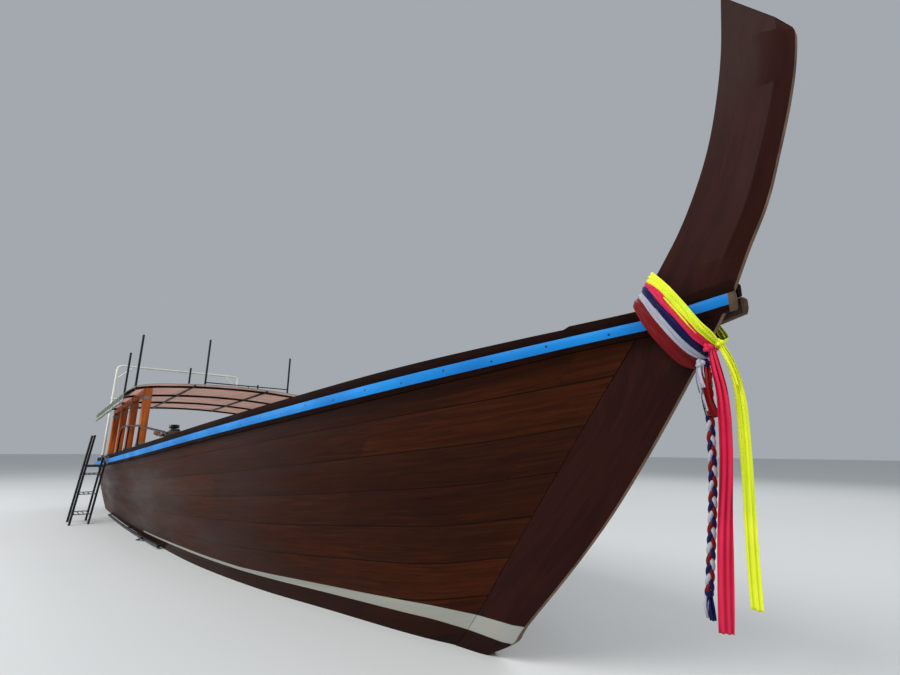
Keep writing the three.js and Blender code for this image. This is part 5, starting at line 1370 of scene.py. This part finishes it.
PIVOT = np.array([-4.440, 0.0, 1.085])
PITCH = math.radians(8)
TAIL_TURN = np.array([[math.cos(PITCH), 0, -math.sin(PITCH)], [0, 1, 0],
                      [math.sin(PITCH), 0, math.cos(PITCH)]])
# The block: its two ends along the shaft, half its width, and its height from the shaft
BLOCK_AFT, BLOCK_FORE, BLOCK_HALF, BLOCK_LOW, BLOCK_HIGH = 0.130, 0.560, 0.128, -0.060, 0.190


def on_tail(parts):
    """Parts made along the shaft, put in the place they have at rest."""
    return moved(together(parts), TAIL_TURN, PIVOT)


def hose(points, radius, finish, sides):
    """Hose or fuel line bent through points."""
    return tube(curve(points, 12 * (len(points) - 1) + 1), radius, sides, finish)


def socket():
    """Upright pin housing on a bolted foot, on the beam across the stern."""
    x, top = -4.440, 0.800
    yield slab(x - 0.070, x + 0.070, -0.095, 0.095, top + 0.0003, top + 0.0143, 0.003)
    yield turned((x, 0, top + 0.010), (x, 0, 1),
                 [[0, 0.066], [0.010, 0.052], [0.018, 0.046], [0.128, 0.046], [0.138, 0.046],
                  [0.1445, 0.043]], 32)
    for sx in (-0.052, 0.052):
        for sy in (-0.074, 0.074):
            yield bolt((x + sx, sy, top + 0.0143), (0, 0, 1), 0.010, 0.009)
    for c, s in around(4, 1.0):
        gusset = slab(0.040, 0.066, -0.004, 0.004, top + 0.012, top + 0.060, 0.002)
        yield moved(gusset, [[c, -s, 0], [s, c, 0], [0, 0, 1]], (x, 0, 0))


piece("swivel_socket", together(socket()), "hull", ["engine_socket"], [black_pipe], crease=40)


def yoke():
    """Round turntable with a cross plate and two cheeks, which the tilting pin goes through."""
    yield turned(PIVOT - [0, 0, 0.1297], PIVOT, [[0, 0.060], [0.003, 0.066], [0.026, 0.066],
                                                 [0.0295, 0.062]], 40)
    yield moved(slab(-0.038, 0.038, -0.226, 0.226, -0.120, -0.100, 0.004), np.eye(3), PIVOT)
    for side in (-1, 1):
        y0, y1 = sorted((side * 0.212, side * 0.226))
        yield moved(slab(-0.038, 0.038, y0, y1, -0.118, 0.014, 0.003), np.eye(3), PIVOT)
        yield turned(PIVOT + [0, y0, 0], PIVOT + [0, y1, 0],
                     [[0, 0.036], [0.002, 0.038], [0.012, 0.038], [0.014, 0.036]], 32)
        for sx in (-0.022, 0.022):
            yield bolt(PIVOT + [sx, side * 0.194, -0.100], (0, 0, 1), 0.008, 0.007, 1)
            weld = slab(-0.004, 0.004, side * 0.185, side * 0.213, -0.101, -0.066, 0.002)
            yield moved(weld, np.eye(3), PIVOT + [sx * 1.5, 0, 0])


piece("swivel_yoke_forged", together(yoke()), "swivel", ["swivel_yoke"], [black_pipe, bare_steel], crease=40)


def cradle():
    """Two square rails and two crosses under the engine, the collar round the tube, the tilting pins,
    and the long tiller bar with its grip."""
    for y in (-0.172, 0.172):
        yield slab(-0.300, 0.740, y - 0.020, y + 0.020, -0.025, 0.025, 0.005)
        end = math.copysign(0.234, y)
        for start, profile in ((0.172, [[0, 0.014], [0.058, 0.014], [0.062, 0.012]]),
                               (0.2275, [[0, 0.022], [0.0025, 0.022], [0.003, 0.021]]),
                               (0.192, [[0, 0.024], [0.012, 0.024], [0.014, 0.022]])):
            yield turned((0, math.copysign(start, y), 0), (0, end, 0), profile, 20, 1)
    for x in (-0.300, 0.690):
        yield slab(x, x + 0.050, -0.172, 0.172, -0.025, 0.025, 0.005)
        for y in (-0.145, 0.145):
            yield slab(x + 0.006, x + 0.044, y - 0.004, y + 0.004, 0.024, 0.027, 0.001)
    yield turned((-0.300, 0, 0), (-0.250, 0, 0), [[0, 0.046], [0.004, 0.052], [0.046, 0.052], [0.05, 0.048]],
                 32)
    yield from (bolt((-0.275, y, 0.047), (0, 0, 1), 0.007, 0.007, 1) for y in (-0.018, 0.018))
    bar = curve_through([(0.735, 0, 0), (0.860, 0, 0.020), (1.060, 0, 0.046), (1.240, 0, 0.070)])
    yield tube(bar(np.linspace(0, 1, 30)), 0.0165, 16)
    grip = bar(np.linspace(0.70, 1.0, 40))
    rings = 0.0195 + 0.0016 * np.cos(np.arange(40) * 1.9)
    yield tube(grip, np.where(np.arange(40) % 39 == 0, 0.0165, rings), 16, 2)
    yield tube([(0.80, 0.026, 0.014), (0.96, 0.026, 0.038), (1.05, 0.026, 0.050)], 0.0035, 8, 1)
    yield disc((0.80, -0.006, 0.014), (0.80, 0.036, 0.014), 0.006, 0.001, 10, 1)


piece("engine_frame_and_tiller", on_tail(cradle()), "tail", ["engine_cradle"],
      [black_pipe, bare_steel, rubber], crease=40)

PULLEYS = [
    # aft and fore face from the block's front, y, z, radius
    (0.000, 0.034, 0.000, -0.010, 0.068),
    (0.000, 0.034, 0.000, 0.128, 0.052),
    (-0.020, 0.030, 0.185, 0.110, 0.030),
]


def belt(out):
    """Closed line round the three pulleys: the outermost points of their circles, in order of angle."""
    rims = np.vstack([around(96, radius + out) + [y, z] for _, _, y, z, radius in PULLEYS])
    rims = rims[np.argsort(rims[:, 0])]
    hull = []
    for points in (rims, rims[::-1]):
        chain = []
        for p in points:
            while len(chain) > 1 and np.cross(chain[-1] - chain[-2], p - chain[-2]) <= 0:
                chain.pop()
            chain.append(p)
        hull += chain[:-1]
    hull = np.array(hull + hull[:1])
    run = lengths(hull)
    even = np.linspace(0, run[-1], 121)[:-1]
    return np.stack([np.interp(even, run, hull[:, 0]), np.interp(even, run, hull[:, 1])], 1)


def pulley(x0, x1, y, z, radius):
    """Pressed pulley: rim, groove, web and hub in one profile."""
    wide = x1 - x0
    rows = [[0, radius * 0.4], [0, radius - 0.002], [0.002, radius], [0.3 * wide, radius],
            [0.36 * wide, radius - 0.005], [0.64 * wide, radius - 0.005], [0.7 * wide, radius],
            [wide - 0.002, radius], [wide, radius - 0.002], [wide, radius * 0.84],
            [wide - 0.006, radius * 0.78], [wide - 0.006, radius * 0.42], [wide + 0.004, radius * 0.36],
            [wide + 0.004, 0.010]]
    fore = BLOCK_FORE
    yield turned((fore + x0, y, z), (fore + x1, y, z), rows, 40, 1)
    yield bolt((fore + x1 + 0.003, y, z), (1, 0, 0), 0.011, 0.008, 1)
    for c, s in around(4 if radius > 0.05 else 0, 0.6 * radius, 0.4):
        yield bolt((fore + x1 - 0.006, y + c, z + s), (1, 0, 0), 0.006, 0.004, 1)


def engine():
    """Block with its ribs, core plugs and side cover, sump, flywheel housing, feet, timing cover,
    pulleys and belt, oil filter, alternator, starter and injection pump. Finishes: 0 enamel, 1 steel,
    2 rubber, 3 cast aluminium, 4 red plastic."""
    aft, fore, half, low, high = BLOCK_AFT, BLOCK_FORE, BLOCK_HALF, BLOCK_LOW, BLOCK_HIGH
    yield slab(aft, fore, -half, half, low, high, 0.010)
    yield slab(aft + 0.004, fore - 0.004, -half - 0.004, half + 0.004, high - 0.014, high, 0.003)
    yield slab(aft + 0.010, fore - 0.020, -half + 0.008, half - 0.008, low - 0.012, low + 0.002, 0.003)
    yield slab(aft + 0.030, fore - 0.040, -half + 0.028, half - 0.028, low - 0.105, low - 0.008, 0.016)
    yield bolt((aft + 0.12, 0, low - 0.104), (0, 0, -1), 0.012, 0.008, 1)
    for x in np.linspace(aft + 0.022, fore - 0.034, 9):
        for side in (-1, 1):
            yield bolt((x, side * (half - 0.016), low - 0.012), (0, 0, -1), 0.006, 0.005, 1)
    for x in np.linspace(aft + 0.070, fore - 0.070, 5):
        for side in (-1, 1):
            yield slab(x - 0.006, x + 0.006, side * (half - 0.004), side * (half + 0.010), -0.030, 0.160,
                       0.004)
    for x in np.linspace(aft + 0.106, fore - 0.106, 4):
        at = np.array([x, -half, 0.125])
        yield turned(at, at + [0, -1, 0], [[-0.002, 0.017], [0.002, 0.017], [0.0005, 0.013],
                                           [0.0005, 0.004]], 20, 1)
    # Flywheel housing and its bolts
    yield turned((aft - 0.070, 0, 0.020), (aft + 0.005, 0, 0.020),
                 [[0, 0.110], [0.004, 0.138], [0.008, 0.148], [0.024, 0.148], [0.028, 0.140], [0.058, 0.134],
                  [0.062, 0.146], [0.074, 0.146]], 48)
    for c, s in around(10, 0.139, 0.3):
        yield bolt((aft - 0.062, c, 0.020 + s), (-1, 0, 0), 0.007, 0.006, 1)
    for x in (aft + 0.060, fore - 0.090):
        for side in (-1, 1):
            yield slab(x, x + 0.070, side * 0.100, side * 0.188, 0.0258, 0.044, 0.004)
            yield slab(x + 0.006, x + 0.064, side * 0.154, side * 0.186, 0.0256, 0.034, 0.003, 2)
            yield bolt((x + 0.035, side * 0.170, 0.044), (0, 0, 1), 0.010, 0.010, 1)
    # Timing cover, pulleys, fan belt
    yield slab(fore - 0.004, fore + 0.006, -half + 0.014, half - 0.014, low + 0.014, high - 0.020, 0.005, 3)
    for y in (-0.098, 0.098):
        for z in (-0.030, 0.030, 0.090, 0.150):
            yield bolt((fore + 0.006, y, z), (1, 0, 0), 0.006, 0.005, 1)
    for row in PULLEYS:
        yield from pulley(*row)
    outer, inner = belt(0.004), belt(-0.002)
    lift = lambda line, x: np.column_stack([np.full(len(line), x), line])
    ring = np.stack([lift(outer, fore + 0.010), lift(outer, fore + 0.024), lift(inner, fore + 0.022),
                     lift(inner, fore + 0.012)], 1)
    yield loft(ring, 2, closed=True)
    # Oil filter, port side
    yield turned((0.260, half - 0.005, 0.095), (0.260, half + 0.085, 0.095),
                 [[0, 0.030], [0.010, 0.030], [0.012, 0.037], [0.020, 0.038], [0.076, 0.038], [0.084, 0.034],
                  [0.088, 0.026], [0.090, 0.014]], 28, 4)
    for c, s in around(14, 0.0372):
        a = np.array([0.260 + c, half + 0.058, 0.095 + s])
        yield disc(a, a + [0, 0.020, 0], 0.0026, 0.001, 6, 4)
    # Alternator with its slots and bracket
    yield turned((fore - 0.150, 0.185, 0.110), (fore - 0.020, 0.185, 0.110),
                 [[0, 0.030], [0.002, 0.050], [0.012, 0.057], [0.044, 0.058], [0.046, 0.054], [0.080, 0.054],
                  [0.082, 0.058], [0.116, 0.057], [0.126, 0.048], [0.130, 0.024]], 32, 3)
    for c, s in around(12, 0.036):
        spoke = np.array([fore - 0.016, 0.185 + c, 0.110 + s])
        yield disc(spoke - [0.006, 0, 0], spoke, 0.005, 0.001, 8, 2)
    yield slab(fore - 0.120, fore - 0.050, 0.110, 0.150, 0.060, 0.074, 0.003, 1)
    yield disc((fore - 0.130, 0.145, 0.062), (fore - 0.040, 0.145, 0.062), 0.008, 0.002, 12, 1)
    # Starter and its solenoid, starboard
    yield turned((aft - 0.060, -0.150, 0.065), (aft + 0.120, -0.150, 0.065),
                 [[0, 0.026], [0.006, 0.034], [0.040, 0.034], [0.044, 0.031], [0.150, 0.031], [0.156, 0.034],
                  [0.172, 0.033], [0.180, 0.024]], 24, 3)
    yield turned((aft - 0.020, -0.164, 0.028), (aft + 0.090, -0.164, 0.028),
                 [[0, 0.015], [0.004, 0.019], [0.096, 0.019], [0.104, 0.013], [0.110, 0.008]], 18, 3)
    # Injection pump and its lines, port
    yield slab(0.400, 0.520, half - 0.004, half + 0.040, 0.020, 0.080, 0.008, 3)
    for k, x in enumerate(np.linspace(0.415, 0.505, 4)):
        yield disc((x, half + 0.020, 0.078), (x, half + 0.020, 0.096), 0.007, 0.002, 6, 1)
        reach = 0.19 + 0.31 * k / 3
        yield hose([(x, half + 0.020, 0.094), (x, half + 0.034, 0.130),
                    ((x + reach) / 2, half + 0.026, 0.160), (reach, half + 0.006, 0.190)], 0.003, 1, 8)
    yield hose([(0.20, half - 0.006, 0.10), (0.19, half + 0.020, 0.150), (0.17, half + 0.012, 0.205)], 0.004,
               1, 8)
    yield hose([(fore - 0.110, 0.150, 0.150), (0.40, 0.150, 0.170), (0.24, 0.142, 0.120),
                (0.10, 0.120, 0.060), (aft - 0.030, -0.120, 0.110)], 0.005, 2, 8)


piece("engine_dressed", on_tail(engine()), "tail", ["engine_block"],
      [engine_enamel, bare_steel, rubber, cast_metal, red_plastic], crease=38)


def head():
    """Cylinder head with gasket, bolts, rocker cover, oil cap, injectors, and the intake runners."""
    aft, fore, half, high = BLOCK_AFT, BLOCK_FORE, BLOCK_HALF, BLOCK_HIGH
    low = high + 0.0003
    yield slab(aft + 0.006, fore - 0.006, -half + 0.016, half - 0.016, low, low + 0.004, 0.001, 1)
    yield slab(aft + 0.008, fore - 0.008, -half + 0.018, half - 0.018, low + 0.003, high + 0.062, 0.006)
    yield slab(aft + 0.020, fore - 0.020, -half + 0.040, half - 0.040, high + 0.060, high + 0.068, 0.003)
    yield slab(aft + 0.026, fore - 0.026, -half + 0.046, half - 0.046, high + 0.066, high + 0.112, 0.014, 2)
    for x in np.linspace(aft + 0.030, fore - 0.030, 6):
        for side in (-1, 1):
            yield bolt((x, side * (half - 0.028), high + 0.062), (0, 0, 1), 0.008, 0.008, 1)
    for x in np.linspace(aft + 0.050, fore - 0.050, 5):
        yield bolt((x, 0.0, high + 0.112), (0, 0, 1), 0.006, 0.006, 1)
        yield slab(x - 0.003, x + 0.003, -half + 0.050, half - 0.050, high + 0.108, high + 0.1135, 0.002, 2)
    yield turned((aft + 0.090, 0, high + 0.110), (aft + 0.090, 0, high + 0.132),
                 [[0, 0.022], [0.003, 0.026], [0.014, 0.026], [0.018, 0.022], [0.022, 0.014]], 20, 3)
    yield slab(aft + 0.070, aft + 0.110, -0.004, 0.004, high + 0.126, high + 0.134, 0.002, 3)
    y, z = half - 0.018, high + 0.032
    log = (y + 0.052, high + 0.044)
    for x in np.linspace(aft + 0.060, fore - 0.060, 4):
        yield slab(x - 0.026, x + 0.026, y - 0.002, y + 0.006, z - 0.022, z + 0.022, 0.003)
        for sx in (-0.019, 0.019):
            yield bolt((x + sx, y + 0.006, z), (0, 1, 0), 0.005, 0.005, 1)
        yield tube([(x, y, z), (x, y + 0.026, z + 0.004), (x, *log)], 0.0165, 16)
        yield disc((x + 0.028, y - 0.026, high + 0.060), (x + 0.028, y - 0.020, high + 0.082), 0.007, 0.002,
                   6, 1)
    yield disc((aft + 0.030, *log), (fore - 0.030, *log), 0.024, 0.008, 24)
    yield hose([(fore - 0.016, 0.030, high + 0.036), (fore + 0.020, 0.050, high + 0.040),
                (fore + 0.026, 0.060, high - 0.004)], 0.015, 3, 14)


piece("engine_head_dressed", on_tail(head()), "tail", ["engine_head"],
      [cast_metal, bare_steel, engine_enamel, rubber], crease=38)


def exhaust():
    """Four ports into a log, then the pipe and a silencer with its seams and end cones."""
    aft, fore, half, high = BLOCK_AFT, BLOCK_FORE, BLOCK_HALF, BLOCK_HIGH
    side, log, z = -half + 0.0177, -half - 0.052, high + 0.032
    for x in np.linspace(aft + 0.060, fore - 0.060, 4):
        yield tube([(x, side, z), (x, side - 0.030, z), (x, log, z)], 0.0195, 16)
        yield slab(x - 0.027, x + 0.027, side - 0.007, side, z - 0.022, z + 0.022, 0.002)
        for sx in (-0.020, 0.020):
            yield bolt((x + sx, side - 0.007, z), (0, -1, 0), 0.0055, 0.006, 1)
    route = rounded([(fore - 0.040, log, z), (aft + 0.020, log, z), (aft - 0.130, log, z + 0.060),
                     (aft - 0.520, log, z + 0.150)], 0.07, 8)
    yield tube(route, 0.0255, 20)
    a, b = np.array([aft - 0.200, log, z + 0.0762]), np.array([aft - 0.470, log, z + 0.1385])
    long = float(np.linalg.norm(b - a))
    yield turned(a, b, [[0, 0.028], [0.020, 0.043], [0.024, 0.046], [0.030, 0.046], [0.032, 0.0445],
                        [long - 0.032, 0.0445], [long - 0.030, 0.046], [long - 0.024, 0.046],
                        [long - 0.020, 0.043], [long, 0.028]], 32)
    for x in (aft - 0.150, aft - 0.172):
        at = np.array([x, log, z + 0.060 + (aft - 0.130 - x) * 0.2308])
        yield turned(at, at + unit(b - a), [[0, 0.029], [0.008, 0.029]], 20, 1)
    yield bolt((aft - 0.158, log, z + 0.100), (0, 0, 1), 0.005, 0.012, 1)


piece("exhaust_and_silencer", on_tail(exhaust()), "tail", ["exhaust_pipe"], [hot_steel, bare_steel],
      crease=38)


def air_cleaner():
    """Round can with a rolled lid, clips and a wing nut, on a short neck."""
    x, top = (BLOCK_AFT + BLOCK_FORE) / 2 + 0.060, BLOCK_HIGH + 0.112
    yield turned((x, 0, top + 0.0003), (x, 0, top + 0.034),
                 [[0, 0.032], [0.006, 0.032], [0.008, 0.029], [0.034, 0.029]], 24)
    yield turned((x, 0, top + 0.030), (x, 0, top + 0.096),
                 [[0, 0.060], [0.003, 0.084], [0.006, 0.090], [0.012, 0.092], [0.014, 0.089], [0.046, 0.089],
                  [0.048, 0.092], [0.056, 0.092], [0.060, 0.088], [0.062, 0.070], [0.059, 0.060],
                  [0.059, 0.020], [0.063, 0.014]], 48)
    for c, s in around(4, 1.0, 0.5):
        clip = slab(0.0885, 0.0915, -0.008, 0.008, top + 0.056, top + 0.084, 0.001, 1)
        yield moved(clip, [[c, -s, 0], [s, c, 0], [0, 0, 1]], (x, 0, 0))
    yield disc((x, 0, top + 0.090), (x, 0, top + 0.1015), 0.006, 0.001, 12, 1)
    yield slab(x - 0.018, x + 0.018, -0.0025, 0.0025, top + 0.092, top + 0.1015, 0.002, 1)


piece("air_cleaner", on_tail(air_cleaner()), "tail", ["air_filter"], [black_pipe, bare_steel], crease=38)


def tail_tube():
    """Long tube with its flange, the shaft bearing's housing, the fin below it and the guard above,
    each welded on and drawn to a thin edge."""
    end, front, radius = -3.560, 0.0597, 0.030
    yield turned((end, 0, 0), (front, 0, 0),
                 [[0, 0.034], [0.004, 0.040], [0.116, 0.040], [0.120, 0.036], [0.124, radius],
                  [front - end - 0.040, radius], [front - end - 0.034, 0.038], [front - end - 0.024, 0.040],
                  [front - end - 0.024, 0.068], [front - end - 0.022, 0.070], [front - end - 0.002, 0.070],
                  [front - end, 0.068]], 32)
    for c, s in around(8, 0.058):
        yield bolt((front - 0.024, c, s), (-1, 0, 0), 0.006, 0.006)
    for outline, half in (
        ([(end + 0.010, 0), (end + 0.020, -0.210), (end + 0.070, -0.225), (end + 0.420, 0)], 0.005),
        ([(end + 0.330, 0), (end + 0.060, 0.096), (end + 0.020, 0.090), (end + 0.010, 0)], 0.004),
    ):
        corners = np.array([(x, 0, z) for x, z in outline])
        line = rounded(corners, 0.030, 6)
        middle = line.mean(0)
        rings = []
        for y, inset in ((-half, 0.003), (-half * 0.5, 0.0), (half * 0.5, 0.0), (half, 0.003)):
            rings.append(line + unit(middle - line) * inset + [0, y, 0])
        yield loft(np.array(rings))
        a, b = corners[0], corners[3]
        for side in (-1, 1):
            lift = np.sign(middle[2]) * 0.0285
            weld = [(min(a[0], b[0]) + 0.125, side * 0.006, lift),
                    (max(a[0], b[0]) - 0.04, side * 0.006, lift)]
            yield disc(*weld, 0.005, 0.002, 8)
    yield bolt((end + 0.060, 0, 0.0395), (0, 0, 1), 0.005, 0.010)
    for x in (-2.4, -1.2):
        yield turned((x, 0, 0), (x + 0.02, 0, 0),
                     [[-0.002, 0.0302], [0.002, 0.0325], [0.018, 0.0325], [0.022, 0.0302]], 24)


piece("shaft_tube", on_tail(tail_tube()), "tail", ["tail_tube"], [bare_steel], crease=38)


def blade():
    """One blade: sections that turn from steep at the hub to flatter at the tip, thick at the middle
    of the chord and thin at its edges, the tip rounded by the chord's ellipse."""
    hub, radius = 0.034, 0.165
    middle = (-3.690 - 3.575) / 2
    t = np.linspace(0, 1, 26)
    r = (hub - 0.012) + (radius - hub + 0.012) * t
    tip = np.sqrt(1 - np.clip((t - 0.62) / 0.38, 0, 1) ** 2.6 * 0.95)
    chord = (0.100 - 0.030 * t) * tip
    pitch = 0.95 - 0.57 * t
    c = np.linspace(-0.5, 0.5, 15)
    thick = (0.0042 - 0.0026 * t)[:, None] * np.sqrt(np.clip(1 - (2 * c) ** 2, 0.03, 1))[None]
    faces = []
    for lift in (-1, 1):
        away = lift * thick + 0.005 * np.cos(np.pi * c)[None]
        x = middle + c * chord[:, None] * np.sin(pitch)[:, None] + away * np.cos(pitch)[:, None]
        y = c * chord[:, None] * np.cos(pitch)[:, None] - away * np.sin(pitch)[:, None]
        faces.append(np.stack([x, y, np.broadcast_to(r[:, None], x.shape)], -1))
    return skin(faces[1], faces[0])


def propeller():
    """Hub, nut, the shaft's end, the shaft ahead of it, and three blades."""
    yield turned((-3.690, 0, 0), (-3.575, 0, 0),
                 [[0, 0.026], [0.006, 0.030], [0.050, 0.034], [0.109, 0.034], [0.115, 0.031]], 36)
    yield turned((-3.720, 0, 0), (-3.685, 0, 0), [[0, 0.010], [0.002, 0.018], [0.028, 0.018],
                                                  [0.035, 0.018]], 6)
    yield turned((-3.735, 0, 0), (-3.715, 0, 0), [[0, 0.006], [0.002, 0.008], [0.02, 0.008]], 12)
    yield disc((-3.585, 0, 0), (-3.5606, 0, 0), 0.014, 0.001, 20, 1)
    for c, s in around(3, 1.0):
        yield moved(blade(), [[1, 0, 0], [0, c, -s], [0, s, c]])


piece("three_bladed_propeller", on_tail(propeller()), "propeller", ["propeller"], [bronze, bare_steel],
      crease=38)


def fuel_can():
    """Moulded can with pressed ribs, a screw cap and a bar handle."""
    z = 0.4203
    yield slab(-3.900, -3.560, 0.420, 0.660, z, z + 0.290, 0.022)
    for x in (-3.84, -3.62):
        yield slab(x - 0.008, x + 0.008, 0.417, 0.663, z + 0.030, z + 0.262, 0.008)
    yield turned((-3.640, 0.540, z + 0.280), (-3.640, 0.540, z + 0.322),
                 [[0, 0.036], [0.012, 0.034], [0.014, 0.031], [0.036, 0.031], [0.042, 0.027]], 28, 1)
    for c, s in around(16, 0.031):
        at = np.array([-3.640 + c, 0.540 + s, z + 0.296])
        yield disc(at, at + [0, 0, 0.022], 0.003, 0.001, 6, 1)
    grip = rounded([(-3.860, 0.540, z + 0.283), (-3.840, 0.540, z + 0.323), (-3.740, 0.540, z + 0.323),
                    (-3.720, 0.540, z + 0.283)], 0.02, 6)
    yield tube(grip, 0.011, 14)


piece("fuel_can", together(fuel_can()), "hull", ["fuel_tank"], [red_plastic, rubber], crease=38)


# Finishes of the CAD pieces that keep their own shape

for given, names in (
    (bottom_timber, ["keel"]),
    (transom_varnish, ["transom"]),
    (inside_timber, ["floor_timbers", "side_frames_port", "side_frames_starboard"]),
    (deck_timber, ["floorboards"]),
    (laid_deck, ["foredeck", "stern_deck"]),
    (thwart_timber, [f"thwart_{k}" for k in range(1, 6)]),
    (cap_timber, ["engine_beam"]),
    (bare_steel, ["ladder_hinge_aft", "ladder_hinge_fore"]),
):
    for name in names:
        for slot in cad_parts[name].material_slots:
            slot.material = given


# Floor, light and sky

def waterline():
    """Closed line where the middle of the planking's thickness crosses the water, port side first."""
    middle = hull_face(np.linspace(0, PLANKS_END, 90), np.linspace(0.3, 7.7, 60), PLANK / 2)
    port = np.array([[np.interp(0, row[:, 2], row[:, k]) for k in (0, 1)] for row in middle])
    port[0, 0] += 0.025
    return np.vstack([port, port[::-1] * [1, -1]])


def stage():
    """Pale floor at the water's height and open inside the planking, soft lights and an even sky. The
    floor is a ring: each point of the waterline is joined to one at its own angle 90 m away."""
    inner = waterline()
    count = len(inner)
    angle = np.arctan2(inner[:, 1], inner[:, 0] - 0.3)
    ring = np.column_stack([90 * np.cos(angle), 90 * np.sin(angle)])
    places = np.column_stack([np.vstack([inner, ring]), np.zeros(2 * count)])
    k = np.arange(count)
    after = (k + 1) % count
    mesh = bpy.data.meshes.new("floor")
    mesh.from_pydata(places.tolist(), [], np.stack([k, after, after + count, k + count], 1).tolist())
    floor = bpy.data.objects.new("floor", mesh)
    # Painted studio floor: flat pale grey, faintly cloudy
    material, shader, node = finish("pale_floor", Roughness=0.8)
    soft = node("TexNoise", {"Vector": node("TexCoord", {}, "Object"), "Scale": 0.4})
    node("Mix", {0: soft, 6: "#d9dad8", 7: "#d2d4d3"}, 2, shader["Base Color"], data_type="RGBA")
    mesh.materials.append(material)
    bpy.context.scene.collection.objects.link(floor)
    for name, place, aim, size, power in (
        ("key", (3.0, -13.0, 12.0), (1.0, -1.0, 0.8), 8.0, 1900),
        ("fill", (-9.0, -12.0, 6.0), (-3.0, 0.0, 1.0), 9.0, 900),
        ("back", (2.0, 13.0, 12.0), (0.0, 0.0, 1.0), 13.0, 700),
        ("bow", (14.0, -1.0, 8.0), (5.5, 0.0, 1.2), 5.0, 420),
    ):
        light = bpy.data.lights.new(name, "AREA")
        light.size = size
        light.energy = power
        lamp = bpy.data.objects.new(name, light)
        lamp.location = place
        lamp.rotation_euler = (Vector(place) - Vector(aim)).to_track_quat("Z", "Y").to_euler()
        bpy.context.scene.collection.objects.link(lamp)
    world = bpy.data.worlds.new("even sky")
    world.use_nodes = True
    world.node_tree.nodes["Background"].inputs["Color"].default_value = colour("#dfe6ee")
    world.node_tree.nodes["Background"].inputs["Strength"].default_value = 0.5
    bpy.context.scene.world = world
    bpy.context.scene.view_settings.view_transform = "Standard"


stage()
